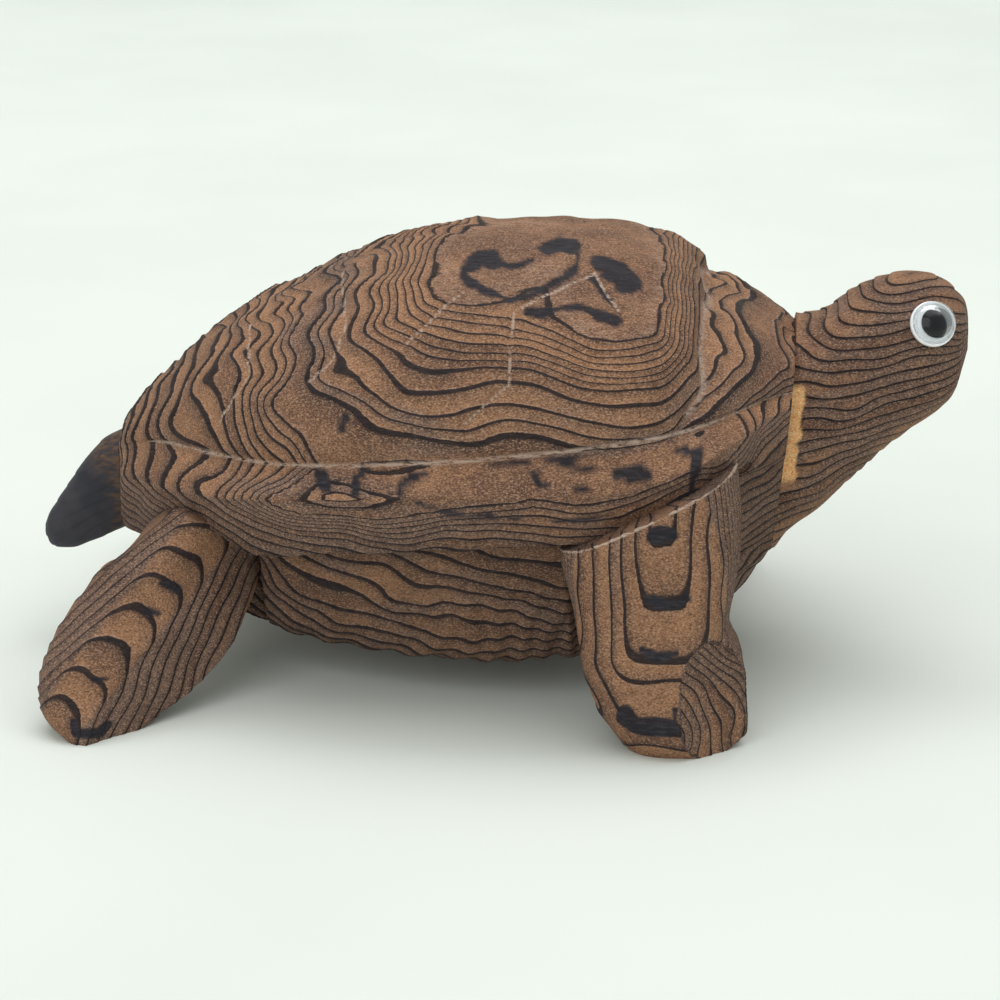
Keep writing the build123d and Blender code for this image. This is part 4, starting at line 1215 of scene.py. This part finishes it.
def softened(corners, bevel, steps=4):
    """A profile whose inner corners are rounded: near each corner it follows a quadratic curve."""
    out = [corners[0]]
    for before, corner, after in zip(corners, corners[1:], corners[2:]):
        before, corner, after = (np.array(p, float) for p in (before, corner, after))
        back, on = before - corner, after - corner
        start = corner + back * min(bevel / max(np.linalg.norm(back), 1e-9), 0.5)
        end = corner + on * min(bevel / max(np.linalg.norm(on), 1e-9), 0.5)
        for t in np.linspace(0, 1, steps):
            out.append(tuple((1 - t) ** 2 * start + 2 * t * (1 - t) * corner + t**2 * end))
    return out + [corners[-1]]


def rolling_eye(context, side, hand):
    """One rolling eye: white backing, loose black disc and clear domed cap."""
    eye = settings(context, "eye")
    middle, axis, ahead = eye_seat(side)
    pole, cap_pole, soft = 0.01, 0.004, 0.08
    radius, bevel = eye["diameter"] / 2, eye["backing"] / 3
    backing = softened([
        (pole, 0), (radius, 0), (radius, eye["backing"] - bevel), (radius - bevel, eye["backing"]),
        (pole, eye["backing"]),
    ], soft)
    floor, disc_radius = eye["backing"] + eye["play"], eye["pupil"] / 2
    disc_top = floor + eye["pupil_thickness"]
    disc = softened([
        (pole, floor), (disc_radius, floor), (disc_radius, disc_top), (pole, disc_top),
    ], soft)
    chamber = disc_radius + eye["pupil_offset"] + eye["play"]
    chamber_side = disc_top + eye["play"]
    outer, outer_side = chamber + eye["wall"], chamber_side + eye["wall"]
    top = eye["backing"] + eye["cap_height"]
    flange, flange_top = radius - bevel, eye["backing"] + eye["wall"]
    inner = round_dome(chamber, chamber_side, top - eye["wall"], 20)[::-1]
    cap = [
        (cap_pole, top - eye["wall"]), *inner[1:], (chamber, eye["backing"]), (flange, eye["backing"]),
        (flange, flange_top), (outer, flange_top), *round_dome(outer, outer_side, top, 24)[:-1],
        (cap_pole, top),
    ]
    for part, profile, start, finish, body, slot in (
        ("backing", backing, middle, "eye white", "carving", "eye_white"),
        ("pupil", disc, middle + ahead * eye["pupil_offset"], "eye black", f"pupil_{hand}", "eye_black"),
        ("cap", cap, middle, "eye clear", "carving", "eye_clear"),
    ):
        node = f"eye_{part}_{hand}"
        grid = turned(profile, 72, start, axis, ahead)
        make_piece(context, f"{node}_form", grid, {}, finish, body, node)


class TURTLE_OT_shell_block(bpy.types.Operator):
    """Builds the dome, rim and belly as one block of wood"""

    bl_idname = "turtle.shell_block"
    bl_label = "Shell block"

    def execute(self, context):
        points, fields = shell_block(context)
        make_piece(context, "shell_block_wood", points, fields, "worn softwood", "carving",
                   "shell_body")
        return {"FINISHED"}


class TURTLE_OT_head(bpy.types.Operator):
    """Builds the head and neck"""

    bl_idname = "turtle.head"
    bl_label = "Head and neck"

    def execute(self, context):
        points, fields = head_block(context)
        make_piece(context, "head_wood", points, fields, "worn softwood", "carving", "head_neck")
        return {"FINISHED"}


class TURTLE_OT_legs(bpy.types.Operator):
    """Builds the four legs, the left ones as mirrors of the right ones"""

    bl_idname = "turtle.legs"
    bl_label = "Legs"

    def execute(self, context):
        for kind, shape in (("front", front_leg), ("rear", rear_leg)):
            points, fields = shape(context)
            other = {key: values[:, ::-1] for key, values in fields.items()}
            for hand, grid, values in (("right", points, fields), ("left", mirrored(points), other)):
                node = f"{kind}_leg_{hand}"
                make_piece(context, f"{node}_wood", grid, values, "worn softwood", "carving", node)
        return {"FINISHED"}


class TURTLE_OT_tail(bpy.types.Operator):
    """Builds the dark leaf of the tail"""

    bl_idname = "turtle.tail"
    bl_label = "Tail"

    def execute(self, context):
        points, fields = tail_leaf(context)
        make_piece(context, "tail_wood", points, fields, "dark tail wood", "carving", "tail")
        return {"FINISHED"}


class TURTLE_OT_eyes(bpy.types.Operator):
    """Builds both rolling eyes"""

    bl_idname = "turtle.eyes"
    bl_label = "Rolling eyes"

    def execute(self, context):
        for side, hand in ((-1, "right"), (1, "left")):
            rolling_eye(context, side, hand)
        return {"FINISHED"}


class TURTLE_OT_dowels(bpy.types.Operator):
    """Gives the hidden dowels their wood"""

    bl_idname = "turtle.dowels"
    bl_label = "Dowels"

    def execute(self, context):
        for name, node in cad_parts.items():
            if "dowel" in name:
                node.data.materials.clear()
                node.data.materials.append(finish_for(context, "turned dowel"))
        return {"FINISHED"}


def paper_sweep(context):
    """Paper that lies flat under the figurine and curves up far behind it.

    Its profile runs through a few corners, smoothed by averaging each place with its neighbours.
    """
    corners = np.array([(-1.0, 0.0), (0.9, 0.0), (1.3, 0.06), (1.6, 0.3), (1.7, 0.7), (1.7, 1.8)])
    steps = np.linspace(0, len(corners) - 1, 60)
    profile = [np.interp(steps, np.arange(len(corners)), corners[:, axis]) for axis in (0, 1)]
    for _ in range(12):
        profile = [np.concatenate([v[:1], (v[:-2] + 2 * v[1:-1] + v[2:]) / 4, v[-1:]]) for v in profile]
    y, z = [values[:, None] for values in profile]
    wide = np.array([-2.2, 2.2])[None]
    grid = np.stack([wide + 0 * y, y + 0 * wide, z + 0 * wide], axis=-1)
    index = np.arange(grid.shape[0] * 2).reshape(-1, 2)
    faces = np.stack([index[:-1, 0], index[:-1, 1], index[1:, 1], index[1:, 0]], axis=-1)
    mesh = bpy.data.meshes.new("paper_sweep")
    mesh.from_pydata(grid.reshape(-1, 3).tolist(), [], faces.tolist())
    mesh.polygons.foreach_set("use_smooth", np.ones(len(faces), bool))
    mesh.materials.append(finish_for(context, "pale paper"))
    sweep = bpy.data.objects.new("paper_sweep", mesh)
    context.scene.collection.objects.link(sweep)


def studio_light(context, studio):
    """Three square soft lights and an even pale light from all sides."""
    for name, where, size, power, aim in (
        ("overhead", (0.1, 0.05, 1.15), 1.3, studio.key_power, (0, 0, 0)),
        ("front", (-0.5, -1.1, 0.75), 1.0, studio.fill_power, (0, 0, 0.03)),
        ("rear", (-0.1, 0.55, 1.5), 1.0, studio.back_power, (-0.1, 1.2, 0)),
    ):
        lamp = bpy.data.lights.new(name, "AREA")
        lamp.shape, lamp.size, lamp.energy = "SQUARE", size, power
        light = bpy.data.objects.new(name, lamp)
        light.location = where
        light.rotation_euler = (Vector(aim) - Vector(where)).to_track_quat("-Z", "Y").to_euler()
        context.scene.collection.objects.link(light)
    world = bpy.data.worlds.new("studio air")
    world.use_nodes = True
    background = world.node_tree.nodes["Background"]
    background.inputs["Color"].default_value = (*tone(240, 247, 243), 1)
    background.inputs["Strength"].default_value = studio.air_strength
    context.scene.world = world


def studio_camera(context, studio):
    """A camera that looks at the figurine's middle along the studio's azimuth and elevation."""
    lens = bpy.data.cameras.new("camera")
    lens.lens, lens.sensor_width = studio.focal_length, 36
    lens.clip_start, lens.clip_end = 0.01, 20
    camera = bpy.data.objects.new("camera", lens)
    turn, rise = studio.azimuth, studio.elevation
    back = Vector((math.sin(turn) * math.cos(rise), -math.cos(turn) * math.cos(rise), math.sin(rise)))
    camera.location = Vector(CAMERA_AIM) + back * studio.distance
    camera.rotation_euler = (-back).to_track_quat("-Z", "Y").to_euler()
    context.scene.collection.objects.link(camera)
    context.scene.camera = camera


class TURTLE_OT_stage(bpy.types.Operator):
    """Sets the pale floor, the soft lights and the camera"""

    bl_idname = "turtle.stage"
    bl_label = "Studio"

    def execute(self, context):
        paper_sweep(context)
        studio_light(context, context.scene.stage_sizes)
        studio_camera(context, context.scene.stage_sizes)
        context.scene.view_settings.view_transform = "Standard"
        return {"FINISHED"}


class TURTLE_PT_panel(bpy.types.Panel):
    """Lists the figurine's pieces and the studio"""

    bl_idname = "TURTLE_PT_panel"
    bl_label = "Carved turtle"
    bl_space_type = "VIEW_3D"
    bl_region_type = "UI"
    bl_category = "Turtle"

    def draw(self, context):
        for operator in PIECES:
            self.layout.operator(operator.bl_idname)
        for group in GROUPS:
            box = self.layout.box()
            values = getattr(context.scene, group)
            for key in values.__annotations__:
                box.prop(values, key)


PIECES = [
    TURTLE_OT_shell_block, TURTLE_OT_head, TURTLE_OT_legs, TURTLE_OT_tail, TURTLE_OT_eyes,
    TURTLE_OT_dowels, TURTLE_OT_stage,
]
GROUPS = {
    "carving": CarvingSizes, "grain": GrainSizes, "eye": EyeSizes, "finish_colours": FinishColours,
    "stage_sizes": StageSizes,
}


def register():
    """Makes the property groups, the operators and the panel known to the scene."""
    for group in (*GROUPS.values(), *PIECES, TURTLE_PT_panel):
        bpy.utils.register_class(group)
    for name, group in GROUPS.items():
        setattr(bpy.types.Scene, name, bpy.props.PointerProperty(type=group))


def unregister():
    """Takes them away again."""
    for name in GROUPS:
        delattr(bpy.types.Scene, name)
    for group in (TURTLE_PT_panel, *reversed(PIECES), *reversed(GROUPS.values())):
        bpy.utils.unregister_class(group)


def main():
    """Builds every piece and the studio."""
    register()
    bpy.ops.turtle.shell_block()
    bpy.ops.turtle.head()
    bpy.ops.turtle.legs()
    bpy.ops.turtle.tail()
    bpy.ops.turtle.eyes()
    bpy.ops.turtle.dowels()
    bpy.ops.turtle.stage()


if __name__ == "__main__":
    main()
